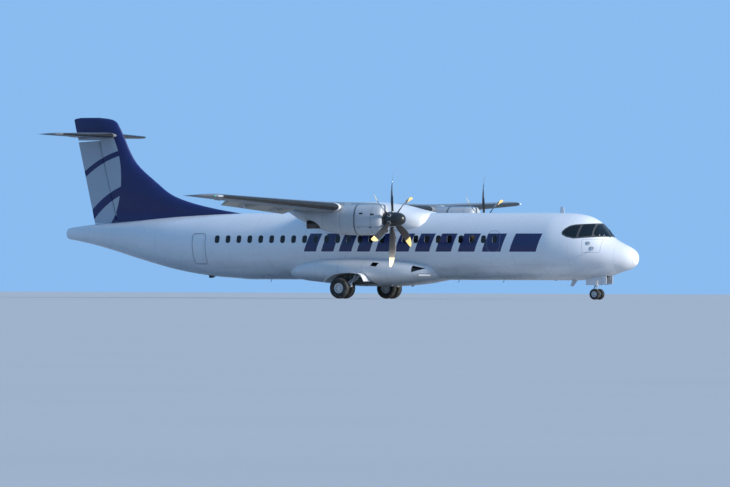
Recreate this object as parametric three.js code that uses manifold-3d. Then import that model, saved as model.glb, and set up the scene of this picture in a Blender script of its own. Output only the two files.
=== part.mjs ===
// A twin-turboprop regional airliner, parked on its landing gear, in millimetres.
// +X is forward, +Y is toward the left wing tip, +Z is up, and the ground is at Z = 0.
// A station is a distance aft of the nose tip, and a height is over the fuselage axis.
import * as THREE from 'three';
import { mergeVertices } from 'three/addons/utils/BufferGeometryUtils.js';
import Module from 'manifold-3d';

const wasm = await Module();
wasm.setup();

// Driving dimensions
const LENGTH = 27166;
const SPAN = 27050;
const HEIGHT = 7650;
const AXIS_Z = 2180;
const FUSELAGE_HALF_WIDTH = 1432;
const FUSELAGE_HALF_HEIGHT = 1390;
const RIGHT = -1;
const LEFT = 1;
const SIDES = [['left', LEFT], ['right', RIGHT]];

// Gaps: between pieces that touch, round a moving piece, and the reach of a cutter past a skin
const GAP = 0.3;
const CLEARANCE = 10;
const REACH = 900;

// Facets round the fuselage, round fairings and round wheels
const FUSELAGE_SEGMENTS = 32;
const FAIRING_SEGMENTS = 28;
const NACELLE_SEGMENTS = 20;
const WHEEL_SEGMENTS = 24;
const ROD_SEGMENTS = 10;

// Fuselage outline: station, top height, height of the widest place, bottom height, half width
const NOSE_TIP = { station: 0, height: -445 };
const FUSELAGE_ROWS = [
  [60, -250, -480, -735, 240],
  [190, -120, -480, -850, 410],
  [400, 5, -470, -950, 575],
  [730, 153, -450, -1040, 750],
  [1200, 416, -390, -1205, 950],
  [1430, 690, -340, -1250, 1030],
  [1660, 940, -280, -1300, 1105],
  [2260, 1262, -150, -1375, 1270],
  [2900, 1365, -60, FUSELAGE_HALF_HEIGHT * -1, 1375],
  [3600, FUSELAGE_HALF_HEIGHT, 0, -FUSELAGE_HALF_HEIGHT, FUSELAGE_HALF_WIDTH],
  [18000, FUSELAGE_HALF_HEIGHT, 0, -FUSELAGE_HALF_HEIGHT, FUSELAGE_HALF_WIDTH],
  [18700, 1378, 10, -1345, 1425],
  [19700, 1345, 55, -1275, 1395],
  [20600, 1305, 120, -1170, 1330],
  [21700, 1245, 230, -985, 1210],
  [22650, 1170, 340, -762, 1060],
  [23700, 1080, 430, -490, 840],
  [24740, 1000, 490, -198, 610],
  [25800, 920, 545, 65, 390],
  [26700, 820, 555, 245, 210],
  [27060, 755, 545, 310, 130],
];
const TAIL_TIP = { station: LENGTH, height: 540 };

// Jacking pads: round, with a flat foot
const PAD_RADIUS = 60;
const NOSE_PAD_STATION = 3750;
const BELLY_PAD = { station: 10900, y: 900 };

// Where the fuselage panels part
const RADOME_END = 730;
const NOSE_END = 4600;
const BARREL_END = 18300;
const BOOM_START = 20600;
const TAIL_CONE_START = 25950;

// Hollow in the tail boom, open forward: its wall, and the last station it reaches
const BOOM_HOLLOW = { wall: 150, end: 24740 };

// Cockpit glazing: its outline from the side as station and height, and its thickness
const GLAZING_OUTLINE = [
  [1020, 395], [1260, 395], [2330, 320], [2640, 380], [2850, 490], [2870, 600],
  [2760, 740], [2600, 850], [2400, 900], [1690, 950], [1020, 950],
];
const GLAZING_DEPTH = 45;

// Doors: stations, heights, which side, and the depth of the doorway behind the door
const DOOR_DEPTH = 60;
const DOOR_CORNER = 110;
const PASSENGER_DOOR = { from: 19300, to: 20090, low: -880, high: 850, side: LEFT, doorway: 260 };
const CARGO_DOOR = { from: 2980, to: 4255, low: -930, high: 600, side: LEFT, doorway: 260 };
const SERVICE_DOOR = { from: 19600, to: 20210, low: -730, high: 500, side: RIGHT, doorway: 70 };

// Wing: span place, leading station, trailing station, height of the chord, thickness ratio
const WING_HEIGHT = 1585;
const WING_BREAK = 4700;
const WING_ROWS = [
  [0, 11320, 13890, WING_HEIGHT, 0.175],
  [WING_BREAK, 11320, 13890, WING_HEIGHT, 0.17],
  [12950, 12110, 13660, WING_HEIGHT + 335, 0.13],
  [13300, 12350, 13645, WING_HEIGHT + 348, 0.115],
  [SPAN / 2, 12900, 13625, WING_HEIGHT + 356, 0.08],
];
const FLAP_FRONT = 0.72;
const FLAP_PIVOT_CHORD = 0.8;
const FLAP_PIVOT_DROP = 150;
const FLAP_ANGLE = THREE.MathUtils.degToRad(30);
const INNER_FLAP = { from: 1640, to: 3440, arms: [2000, 3080] };
const OUTER_FLAP = { from: 4800, to: 10250, arms: [6300, 9000] };
const AILERON = { from: 10450, to: 12900, chord: 0.74 };
const FLAP_ARM = { thickness: 24, track: 46 };

// Tailplane: the columns of the wing
const TAILPLANE_HEIGHT = 4700;
const TAILPLANE_ROWS = [
  [0, 24640, 26730, TAILPLANE_HEIGHT, 0.125],
  [3450, 25300, 26420, TAILPLANE_HEIGHT, 0.11],
  [3655, 25560, 26400, TAILPLANE_HEIGHT, 0.08],
];
const ELEVATOR = { from: 230, to: 3420, chord: 0.66 };

// Fin: height, leading station, trailing station, half thickness
const FIN_ROWS = [
  [900, 22300, 25740, 190],
  [1365, 18500, 25850, 150],
  [1580, 19860, 25900, 165],
  [1900, 21250, 25980, 180],
  [2180, 22000, 26050, 190],
  [2650, 22680, 26160, 185],
  [3600, 23800, 26390, 165],
  [TAILPLANE_HEIGHT - GAP, 24390, 26660, 142],
];
const FIN_CAP_ROWS = [
  [TAILPLANE_HEIGHT, 24390, 26660, 142],
  [5040, 24570, 26750, 140],
  [5280, 24740, 26800, 120],
  [5400, 25000, 26825, 90],
  [HEIGHT - AXIS_Z, 25560, 26500, 35],
];
const RUDDER = {
  low: 1045, high: 4480, lowTrailing: 965, highTrailing: 4430, chordFoot: 24720, chordHead: 25610,
  headGap: 25,
};

// Fairings: station, half width, top height, bottom height
const WING_FAIRING_ROWS = [
  [9150, 700, 1180, 500],
  [9500, 1180, 1400, 480],
  [10200, 1400, 1560, 450],
  [11100, 1465, 1760, 430],
  [12200, 1480, 1850, 430],
  [13200, 1465, 1800, 440],
  [14200, 1340, 1620, 470],
  [15000, 1120, 1420, 520],
  [15500, 700, 1180, 580],
];
const BELLY_FAIRING_ROWS = [
  [8850, 950, -900, -1280],
  [9000, 1330, -720, -1400],
  [9400, 1590, -620, -1480],
  [10300, 1790, -510, -1600],
  [11400, 1860, -430, -1662],
  [12500, 1860, -400, -1665],
  [13500, 1770, -410, -1610],
  [14500, 1540, -470, -1510],
  [15300, 1280, -640, -1420],
  [15700, 950, -900, -1280],
];
const FAIRING_POWER = 2.5;

// Main gear: wheel places, the bay in the belly fairing and the shelf door over the wheels
const MAIN_GEAR = {
  station: 12630, track: 4100, spacing: 500, tyreRadius: 432, tyreWidth: 254, rimRadius: 212,
  rimWidth: 200, axleRadius: 45, legStation: 12240, legRadius: 60,
};
const BAY_WALL_Y = 1120;
const BAY_OUTLINE = [
  [11300, 300], [11680, 1030], [12050, 1085], [12500, 1095], [12950, 1030], [13250, 880],
  [13420, 710], [13420, 300],
];
const SHELF_DOOR = { thickness: 26, outerY: 2270 };

// Nose gear
const NOSE_GEAR = {
  station: 1860, spacing: 400, tyreRadius: 225, tyreWidth: 165, rimRadius: 122, rimWidth: 140,
  axleRadius: 30, legRadius: 72, legFoot: 665, legTop: 1420, pistonRadius: 44,
};
const NOSE_BAY = { from: 1250, to: 2250, halfWidth: 260, top: 1500 };

// Engines, nacelles and propellers
const ENGINE_Y = 4050;
const SHAFT_HEIGHT = 1090;
const NACELLE_ROWS = [
  [9550, 400, 1655, 500],
  [9640, 450, 1690, 460],
  [9950, 505, 1710, 430],
  [10720, 560, 1712, 425],
  [11500, 565, 1700, 450],
  [12200, 520, 1640, 590],
  [13000, 420, 1560, 860],
  [13600, 300, 1540, 1120],
  [14050, 150, 1530, 1380],
];
const NACELLE_POWER = 2.35;
const NACELLE_CAVITY = { from: 9720, to: 11860, halfWidth: 400, low: 500, high: 1305 };
const ENGINE_BLOCK = { from: 9760, to: 11780, halfWidth: 330, high: 1290 };
const INTAKE = { halfWidth: 250, low: 530, high: 690 };
const PROPELLER = {
  station: 9230, radius: 1965, hubRadius: 300, hubHalf: 180, shaftRadius: 90, shaftEnd: 9730,
  blades: 6, tipStation: 8630,
};
// Blade: radius, chord, thickness, pitch in degrees, sweep against the turn
const BLADE_ROWS = [
  [240, 120, 96, 64, 0],
  [460, 170, 58, 60, -8],
  [800, 262, 36, 50, -34],
  [1200, 300, 25, 40, -42],
  [1560, 270, 17, 33, -4],
  [1820, 195, 11, 29, 62],
  [PROPELLER.radius, 70, 6, 27, 138],
];
const EXHAUST = { front: [12250, 300, 880], back: [12980, 560, 860], outer: 170, inner: 146 };

// Finishes
const FINISHES = {
  white: { color: 0xe9ecef, roughness: 0.3, metalness: 0.0 },
  navy: { color: 0x0b1546, roughness: 0.3, metalness: 0.0 },
  grey: { color: 0x6d747c, roughness: 0.45, metalness: 0.0 },
  glass: { color: 0x11161b, roughness: 0.08, metalness: 0.0 },
  steel: { color: 0x9aa0a6, roughness: 0.35, metalness: 0.9 },
  black: { color: 0x15161a, roughness: 0.4, metalness: 0.0 },
  rubber: { color: 0x141414, roughness: 0.9, metalness: 0.0 },
  hotMetal: { color: 0x4a4038, roughness: 0.5, metalness: 0.8 },
};
const materials = Object.fromEntries(
  Object.entries(FINISHES).map(([name, finish]) => [name, new THREE.MeshStandardMaterial(finish)]),
);

const airliner = new THREE.Group();

const atStation = (station) => LENGTH / 2 - station;
const atHeight = (height) => AXIS_Z + height;
const place = (station, y, height) => new THREE.Vector3(atStation(station), y, atHeight(height));

/** The value at `key` between the rows of a table whose first column is the key. */
function rowAt(rows, key) {
  const next = rows.findIndex((row, index) => index > 0 && row[0] >= key);
  const [low, high] = [rows[next - 1], rows[next]];
  const share = (key - low[0]) / (high[0] - low[0]);
  return low.map((value, column) => value + (high[column] - value) * share);
}

/** A solid with its faces out, from a closed geometry or from bare positions and triangles. */
function toSolid(geometry) {
  const bare = geometry.clone();
  bare.deleteAttribute('normal');
  bare.deleteAttribute('uv');
  const merged = mergeVertices(bare, 1e-3);
  const positions = merged.attributes.position;
  const triangles = Uint32Array.from(merged.index.array);
  const corners = [0, 1, 2].map(() => new THREE.Vector3());
  let volume = 0;
  for (let i = 0; i < triangles.length; i += 3) {
    corners.forEach((corner, k) => corner.fromBufferAttribute(positions, triangles[i + k]));
    volume += corners[0].dot(corners[1].clone().cross(corners[2]));
  }
  if (volume < 0) triangles.reverse();
  return new wasm.Manifold(new wasm.Mesh({
    numProp: 3,
    vertProperties: Float32Array.from(positions.array),
    triVerts: triangles,
  }));
}

/** A three.js geometry from a solid. */
function toGeometry(solid) {
  const { vertProperties, triVerts } = solid.getMesh();
  const geometry = new THREE.BufferGeometry();
  geometry.setAttribute('position', new THREE.BufferAttribute(vertProperties, 3));
  geometry.setIndex(new THREE.BufferAttribute(triVerts, 1));
  geometry.computeVertexNormals();
  return geometry;
}

/** Adds a piece, with its mesh about `pivot` when the piece turns there by `turn`. */
function addPiece(name, solid, finish, pivot = new THREE.Vector3(), turn = new THREE.Quaternion()) {
  const geometry = toGeometry(solid).translate(-pivot.x, -pivot.y, -pivot.z);
  const mesh = new THREE.Mesh(geometry, materials[finish]);
  mesh.name = name;
  mesh.position.copy(pivot);
  mesh.quaternion.copy(turn);
  airliner.add(mesh);
}

/** A closed skin through rings of equally many points, with flat ends. */
function loft(rings) {
  const count = rings[0].length;
  const positions = rings.flat().flatMap((point) => point.toArray());
  const triangles = [];
  for (let ring = 0; ring < rings.length - 1; ring += 1) {
    for (let i = 0; i < count; i += 1) {
      const here = ring * count + i;
      const beside = ring * count + (i + 1) % count;
      triangles.push(here, beside, beside + count, here, beside + count, here + count);
    }
  }
  [0, rings.length - 1].forEach((ring, end) => {
    const middle = new THREE.Vector3();
    rings[ring].forEach((point) => middle.addScaledVector(point, 1 / count));
    const centre = positions.length / 3;
    positions.push(...middle.toArray());
    for (let i = 0; i < count; i += 1) {
      const pair = [ring * count + i, ring * count + (i + 1) % count];
      if (end === 0) pair.reverse();
      triangles.push(...pair, centre);
    }
  });
  const geometry = new THREE.BufferGeometry();
  geometry.setAttribute('position', new THREE.Float32BufferAttribute(positions, 3));
  geometry.setIndex(triangles);
  return toSolid(geometry);
}

/** A box between two stations, two span places and two heights. */
function box(from, to, y0, y1, low, high) {
  const geometry = new THREE.BoxGeometry(to - from, y1 - y0, high - low);
  const middle = place((from + to) / 2, (y0 + y1) / 2, (low + high) / 2);
  return toSolid(geometry.translate(...middle.toArray()));
}

/** A solid between two span places whose outline is drawn from the side, in station and Z. */
function sidePrism(outline, y0, y1) {
  const shape = Array.isArray(outline)
    ? new THREE.Shape(outline.map(([station, z]) => new THREE.Vector2(atStation(station), z)))
    : outline;
  const geometry = new THREE.ExtrudeGeometry(shape, {
    depth: y1 - y0, bevelEnabled: false, curveSegments: 4,
  });
  return toSolid(geometry.rotateX(Math.PI / 2).translate(0, y1, 0));
}

/** A solid between two heights whose outline is drawn from above, in station and Y. */
function planPrism(outline, low, high) {
  const shape = new THREE.Shape(outline.map(([station, y]) => new THREE.Vector2(atStation(station), y)));
  const geometry = new THREE.ExtrudeGeometry(shape, { depth: high - low, bevelEnabled: false });
  return toSolid(geometry.translate(0, 0, atHeight(low)));
}

/** A round bar from one point to another, which may taper. */
function rod(start, end, startRadius, endRadius = startRadius, segments = ROD_SEGMENTS) {
  const along = end.clone().sub(start);
  const geometry = new THREE.CylinderGeometry(endRadius, startRadius, along.length(), segments);
  const turn = new THREE.Quaternion().setFromUnitVectors(
    new THREE.Vector3(0, 1, 0), along.clone().normalize(),
  );
  geometry.applyQuaternion(turn);
  return toSolid(geometry.translate(...start.clone().lerp(end, 0.5).toArray()));
}

/**
 * A turned solid about an axis along Y through `centre`, from points of radius and offset.
 * It stands on a flat facet, which lies at the stated radius.
 */
function turned(profile, centre) {
  const halfStep = Math.PI / WHEEL_SEGMENTS;
  const points = profile.map(([radius, offset]) => new THREE.Vector2(radius / Math.cos(halfStep), offset));
  const geometry = new THREE.LatheGeometry(points, WHEEL_SEGMENTS, halfStep);
  return toSolid(geometry.translate(...centre.toArray()));
}

const ringAngles = (segments) => Array.from({ length: segments }, (_, i) => (i * 2 * Math.PI) / segments);

/** A rounded section across the fuselage line, an ellipse at power 2 and squarer above it. */
function crossRing(station, y, halfWidth, top, middle, bottom, { power = 2, segments }) {
  return ringAngles(segments).map((angle) => {
    const side = Math.sign(Math.cos(angle)) * Math.abs(Math.cos(angle)) ** (2 / power);
    const rise = Math.sign(Math.sin(angle)) * Math.abs(Math.sin(angle)) ** (2 / power);
    const half = rise > 0 ? top - middle : middle - bottom;
    return place(station, y + halfWidth * side, middle + half * rise);
  });
}

/** The whole fuselage, with its skin moved out by `grow`. */
function fuselage(grow = 0) {
  const segments = FUSELAGE_SEGMENTS;
  const rings = FUSELAGE_ROWS.map(([station, top, middle, bottom, halfWidth]) => crossRing(
    station, 0, halfWidth + grow, top + grow, middle, bottom - grow, { segments },
  ));
  const tip = (end, radius) => crossRing(
    end.station, 0, radius, end.height + radius, end.height, end.height - radius, { segments },
  );
  return loft([tip(NOSE_TIP, 60), ...rings, tip(TAIL_TIP, 70)]);
}

/** The space inside the tail boom. */
function boomHollow() {
  const { wall, end } = BOOM_HOLLOW;
  const rows = FUSELAGE_ROWS.filter(([station]) => station >= BOOM_START && station <= end);
  return loft(rows.map(([station, top, middle, bottom, halfWidth]) => crossRing(
    station, 0, halfWidth - wall, top - wall, middle, bottom + wall, { segments: FUSELAGE_SEGMENTS / 2 },
  )));
}

/** A fairing through the rows of a table, symmetrical about y. */
function fairing(rows, y, power, segments, grow = 0) {
  return loft(rows.map(([station, halfWidth, top, bottom]) => crossRing(
    station, y, halfWidth + grow, top + grow, (top + bottom) / 2, bottom - grow, { power, segments },
  )));
}

/** Half the thickness of an aerofoil at a share of its chord. */
function aerofoil(share, ratio) {
  const root = 0.2969 * Math.sqrt(share);
  return 5 * ratio * (root - share * (0.126 + share * (0.3516 - share * (0.2843 - share * 0.1036))));
}

const CHORD_SHARES = [1, 0.82, 0.64, 0.46, 0.3, 0.17, 0.08, 0.025];
const EDGE_HALF = 4;

/** The section of a wing or tail surface: `put` places a station and an offset from the chord. */
function aerofoilRing(leading, trailing, ratio, put, grow = 0) {
  const chord = trailing - leading;
  const point = (share, side) => put(
    leading - grow + share * (chord + 2 * grow),
    side * (aerofoil(share, ratio) * chord + EDGE_HALF * share + grow),
  );
  return [
    ...CHORD_SHARES.map((share) => point(share, 1)),
    put(leading - grow, 0),
    ...CHORD_SHARES.toReversed().map((share) => point(share, -1)),
  ];
}

/** A flat-lying surface through the rows of a table, on one side or from side to side. */
function surface(rows, grow = 0) {
  return loft(rows.map(([y, leading, trailing, height, ratio]) => aerofoilRing(
    leading, trailing, ratio, (station, offset) => place(station, y, height + offset), grow,
  )));
}

const mirrored = (rows, side) => rows.map(([y, ...rest]) => [side * y, ...rest]);

/** The section of a moving surface: a round nose about its hinge, tapered to its edge. */
function teardropRing(hinge, trailing, radius, put) {
  const nose = [90, 60, 30, 0, -30, -60, -90].map((degrees) => {
    const angle = THREE.MathUtils.degToRad(degrees);
    return put(hinge - radius * Math.cos(angle), radius * Math.sin(angle));
  });
  return [...nose, put(trailing, -EDGE_HALF), put(trailing, EDGE_HALF)];
}

/** Everything behind a share of the chord between two span places of a flat-lying surface. */
function trailingCutter(rows, from, to, share, side, lead) {
  const at = (y) => {
    const [, leading, trailing] = rowAt(rows, y);
    return leading + share * (trailing - leading) - lead;
  };
  const outline = [
    [at(from), side * (from - CLEARANCE)], [at(to), side * (to + CLEARANCE)],
    [rows[0][2] + REACH, side * (to + CLEARANCE)], [rows[0][2] + REACH, side * (from - CLEARANCE)],
  ];
  const height = rows[0][3];
  return planPrism(outline, height - REACH, height + REACH);
}

/** How far the round nose of a moving surface reaches from its hinge at a span place. */
function noseRadius(rows, y, share) {
  const [, leading, trailing, , ratio] = rowAt(rows, y);
  return aerofoil(share, ratio) * (trailing - leading);
}

/** A moving surface whose hinge lies in its chord, as an aileron or elevator. */
function hingedSurface(rows, { from, to, chord }, side) {
  return loft([from, to].map((y) => {
    const [, leading, trailing, height] = rowAt(rows, y);
    const hinge = leading + chord * (trailing - leading);
    return teardropRing(hinge, trailing, noseRadius(rows, y, chord), (station, offset) => (
      place(station, side * y, height + offset)));
  }));
}

/** Where the axis of a moving surface passes at a span place. */
function hingePoint(rows, y, chord, side, drop = 0) {
  const [, leading, trailing, height] = rowAt(rows, y);
  const below = drop === 0 ? 0 : drop + noseRadius(rows, y, chord);
  return place(leading + chord * (trailing - leading), side * y, height - below);
}

/** Fuselage: radome, nose, cabin barrel, tail, tail boom and tail cone, parted at flat joints. */
function buildFuselage(skin) {
  const slab = (from, to) => box(from + GAP / 2, to - GAP / 2, -REACH * 3, REACH * 3, -REACH * 4, REACH * 4);
  const recess = (door) => doorPrism(door, CLEARANCE).subtract(fuselage(-door.doorway));
  const glazing = (grow) => glazingPrism(grow).subtract(fuselage(-GLAZING_DEPTH - grow));
  const bay = box(
    NOSE_BAY.from, NOSE_BAY.to, -NOSE_BAY.halfWidth, NOSE_BAY.halfWidth, -REACH * 2, NOSE_BAY.top - AXIS_Z,
  );
  const padFoot = place(NOSE_PAD_STATION, 0, -FUSELAGE_HALF_HEIGHT - 14);
  const pad = rod(padFoot, padFoot.clone().setZ(padFoot.z + 80), PAD_RADIUS);
  addPiece('radome', skin.intersect(slab(-REACH, RADOME_END)), 'white');
  addPiece('nose_section', skin.intersect(slab(RADOME_END, NOSE_END))
    .add(pad).subtract(glazing(GAP)).subtract(recess(CARGO_DOOR)).subtract(bay), 'white');
  addPiece('cockpit_glazing', skin.intersect(glazing(0)), 'glass');
  addPiece('cabin_barrel', skin.intersect(slab(NOSE_END, BARREL_END)).subtract(wingCentre(GAP)), 'white');
  addPiece('tail_section', skin.intersect(slab(BARREL_END, BOOM_START))
    .subtract(recess(PASSENGER_DOOR)).subtract(recess(SERVICE_DOOR)), 'white');
  addPiece('tail_boom', skin.intersect(slab(BOOM_START, TAIL_CONE_START)).subtract(boomHollow()), 'white');
  addPiece('tail_cone', skin.intersect(slab(TAIL_CONE_START, LENGTH + REACH)), 'white');
  const doors = { passenger_door: PASSENGER_DOOR, cargo_door: CARGO_DOOR, service_door: SERVICE_DOOR };
  Object.entries(doors).forEach(([name, door]) => {
    const panel = skin.intersect(doorPrism(door, 0)).subtract(fuselage(-DOOR_DEPTH));
    addPiece(name, panel, 'white');
  });
}

/** The glazing's outline, pushed out by `grow`, through the whole nose. */
function glazingPrism(grow) {
  const middle = GLAZING_OUTLINE.reduce(([s, h], [station, height]) => (
    [s + station / GLAZING_OUTLINE.length, h + height / GLAZING_OUTLINE.length]), [0, 0]);
  const outline = GLAZING_OUTLINE.map(([station, height]) => [
    station + Math.sign(station - middle[0]) * grow, atHeight(height + Math.sign(height - middle[1]) * grow),
  ]);
  return sidePrism(outline, -REACH * 2, REACH * 2);
}

/** A door's rounded outline, pushed out by `grow`, from the centre plane out past the skin. */
function doorPrism({ from, to, low, high, side }, grow) {
  const radius = DOOR_CORNER + grow;
  const [x0, x1] = [atStation(to) - grow, atStation(from) + grow];
  const [z0, z1] = [atHeight(low) - grow, atHeight(high) + grow];
  const shape = new THREE.Shape();
  shape.absarc(x1 - radius, z0 + radius, radius, -Math.PI / 2, 0);
  shape.absarc(x1 - radius, z1 - radius, radius, 0, Math.PI / 2);
  shape.absarc(x0 + radius, z1 - radius, radius, Math.PI / 2, Math.PI);
  shape.absarc(x0 + radius, z0 + radius, radius, Math.PI, Math.PI * 1.5);
  return sidePrism(shape, side > 0 ? 0 : -REACH * 2, side > 0 ? REACH * 2 : 0);
}

/** Main gear bay in the belly fairing: its side outline, moved in by `inset` from above. */
function bayPrism(side, inset, innerY, outerY) {
  const outline = BAY_OUTLINE.map(([station, z]) => [station, z - inset]);
  const edges = [side * innerY, side * outerY].toSorted((a, b) => a - b);
  return sidePrism(outline, ...edges);
}

/** The two ends of a main leg: inside the fuselage skin, and at its knee between the wheels. */
function legEnds(side) {
  const { legStation, track } = MAIN_GEAR;
  return [
    new THREE.Vector3(atStation(legStation), side * 1000, 1465),
    new THREE.Vector3(atStation(legStation), (side * track) / 2, 600),
  ];
}

/** Belly and wing fairings, with the gear bays, leg holes and two jacking pads. */
function buildFairings(skinCutter) {
  let belly = fairing(BELLY_FAIRING_ROWS, 0, FAIRING_POWER, FAIRING_SEGMENTS).subtract(skinCutter);
  SIDES.forEach(([, side]) => {
    const padFoot = place(BELLY_PAD.station, side * BELLY_PAD.y, BELLY_FAIRING_ROWS[4][3] - 6);
    belly = belly.add(rod(padFoot, padFoot.clone().setZ(padFoot.z + 120), PAD_RADIUS));
    belly = belly.subtract(bayPrism(side, 0, BAY_WALL_Y, BAY_WALL_Y + REACH * 2));
    const [top, knee] = legEnds(side);
    belly = belly.subtract(rod(top, knee, MAIN_GEAR.legRadius + 30));
  });
  addPiece('belly_fairing', belly, 'white');
  const saddle = fairing(WING_FAIRING_ROWS, 0, FAIRING_POWER, FAIRING_SEGMENTS);
  addPiece('wing_fairing', saddle.subtract(skinCutter).subtract(wingCentre(GAP)), 'white');
}

/** The straight middle of the wing, before its flaps are cut out. */
function wingCentre(grow = 0) {
  const [root, edge] = WING_ROWS;
  return surface([[-edge[0] - grow, ...edge.slice(1)], root, [edge[0] + grow, ...edge.slice(1)]], grow);
}

/** Axis of a flap through its two ends, below the wing. */
function flapAxis({ from, to }, side) {
  const [start, end] = [from, to].map((y) => (
    hingePoint(WING_ROWS, y, FLAP_PIVOT_CHORD, side, FLAP_PIVOT_DROP)));
  return { start, along: end.clone().sub(start).multiplyScalar(side).normalize() };
}

/** The point of a flap's axis at a span place. */
function axisAt({ start, along }, y) {
  return start.clone().addScaledVector(along, (y - start.y) / along.y);
}

/** A flap as it lies when it is up, with its two arms down to the axis. */
function flap(span, side) {
  const axis = flapAxis(span, side);
  const panel = loft([span.from, span.to].map((y) => {
    const [, leading, trailing, height] = rowAt(WING_ROWS, y);
    const radius = noseRadius(WING_ROWS, y, FLAP_FRONT) - 6;
    const nose = leading + FLAP_FRONT * (trailing - leading) + radius + CLEARANCE;
    return teardropRing(nose, trailing, radius, (station, offset) => (
      place(station, side * y, height + offset)));
  }));
  return span.arms.reduce((solid, y) => {
    const pivot = axisAt(axis, side * (y + FLAP_ARM.track));
    const z = pivot.z + FLAP_PIVOT_DROP + 60;
    const outline = new THREE.Shape([
      new THREE.Vector2(pivot.x + 40, pivot.z - 40), new THREE.Vector2(pivot.x - 40, pivot.z - 40),
      new THREE.Vector2(pivot.x - 330, z), new THREE.Vector2(pivot.x + 20, z + 40),
    ].toReversed());
    const half = FLAP_ARM.thickness / 2;
    return solid.add(sidePrism(outline, pivot.y - half, pivot.y + half));
  }, panel);
}

/** The fairing of a flap track under the wing, ending at the flap's axis. */
function flapTrack(axis, y) {
  const pivot = axisAt(axis, y);
  const outline = new THREE.Shape([
    new THREE.Vector2(pivot.x + 1050, pivot.z + 120), new THREE.Vector2(pivot.x + 560, pivot.z - 10),
    new THREE.Vector2(pivot.x + 60, pivot.z - 62), new THREE.Vector2(pivot.x - 50, pivot.z - 45),
    new THREE.Vector2(pivot.x - 60, pivot.z + 30), new THREE.Vector2(pivot.x + 290, pivot.z + 150),
    new THREE.Vector2(pivot.x + 290, pivot.z + 260), new THREE.Vector2(pivot.x + 1050, pivot.z + 330),
  ]);
  return sidePrism(outline, pivot.y - 26, pivot.y + 26);
}

/** Wing centre, outer wings, flaps and ailerons. */
function buildWing() {
  let centre = wingCentre();
  SIDES.forEach(([name, side]) => {
    centre = centre.subtract(trailingCutter(WING_ROWS, INNER_FLAP.from, INNER_FLAP.to, FLAP_FRONT, side, 0));
    INNER_FLAP.arms.forEach((y) => {
      centre = centre.add(flapTrack(flapAxis(INNER_FLAP, side), side * y));
    });
    const outerRows = WING_ROWS.slice(1).map(([y, ...rest], index) => [index === 0 ? y + GAP : y, ...rest]);
    let outer = surface(mirrored(outerRows, side));
    outer = outer.subtract(trailingCutter(WING_ROWS, OUTER_FLAP.from, OUTER_FLAP.to, FLAP_FRONT, side, 0));
    const aileronNose = noseRadius(WING_ROWS, AILERON.from, AILERON.chord) + CLEARANCE;
    outer = outer.subtract(
      trailingCutter(WING_ROWS, AILERON.from, AILERON.to, AILERON.chord, side, aileronNose),
    );
    OUTER_FLAP.arms.forEach((y) => {
      outer = outer.add(flapTrack(flapAxis(OUTER_FLAP, side), side * y));
    });
    addPiece(`wing_${name}`, outer, 'grey');
    addPiece(`aileron_${name}`, hingedSurface(WING_ROWS, AILERON, side), 'grey');
    [['inner', INNER_FLAP], ['outer', OUTER_FLAP]].forEach(([part, span]) => {
      const { start, along } = flapAxis(span, side);
      const turn = new THREE.Quaternion().setFromAxisAngle(along, -FLAP_ANGLE);
      addPiece(`flap_${part}_${name}`, flap(span, side), 'grey', start, turn);
    });
  });
  addPiece('wing_centre', centre, 'grey');
}

/** A standing surface through rows of height, leading station, trailing station, half thickness. */
function standingSurface(rows, grow = 0) {
  return loft(rows.map(([height, leading, trailing, half]) => aerofoilRing(
    leading, trailing, (2 * half) / (trailing - leading), (station, offset) => place(station, offset, height), grow,
  )));
}

/** Station of the rudder's axis at a height. */
function rudderHinge(height) {
  const share = (height - RUDDER.low) / (RUDDER.high - RUDDER.low);
  return RUDDER.chordFoot + share * (RUDDER.chordHead - RUDDER.chordFoot);
}

/** Half thickness of the fin at the rudder's axis. */
function rudderRadius(height) {
  const [, leading, trailing, half] = rowAt(FIN_ROWS, height);
  const share = (rudderHinge(height) - leading) / (trailing - leading);
  return aerofoil(share, (2 * half) / (trailing - leading)) * (trailing - leading);
}

/** The whole tailplane, before its elevators are cut out. */
function tailplaneSurface(grow = 0) {
  return surface([...mirrored(TAILPLANE_ROWS.slice(1), RIGHT).toReversed(), ...TAILPLANE_ROWS], grow);
}

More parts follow.
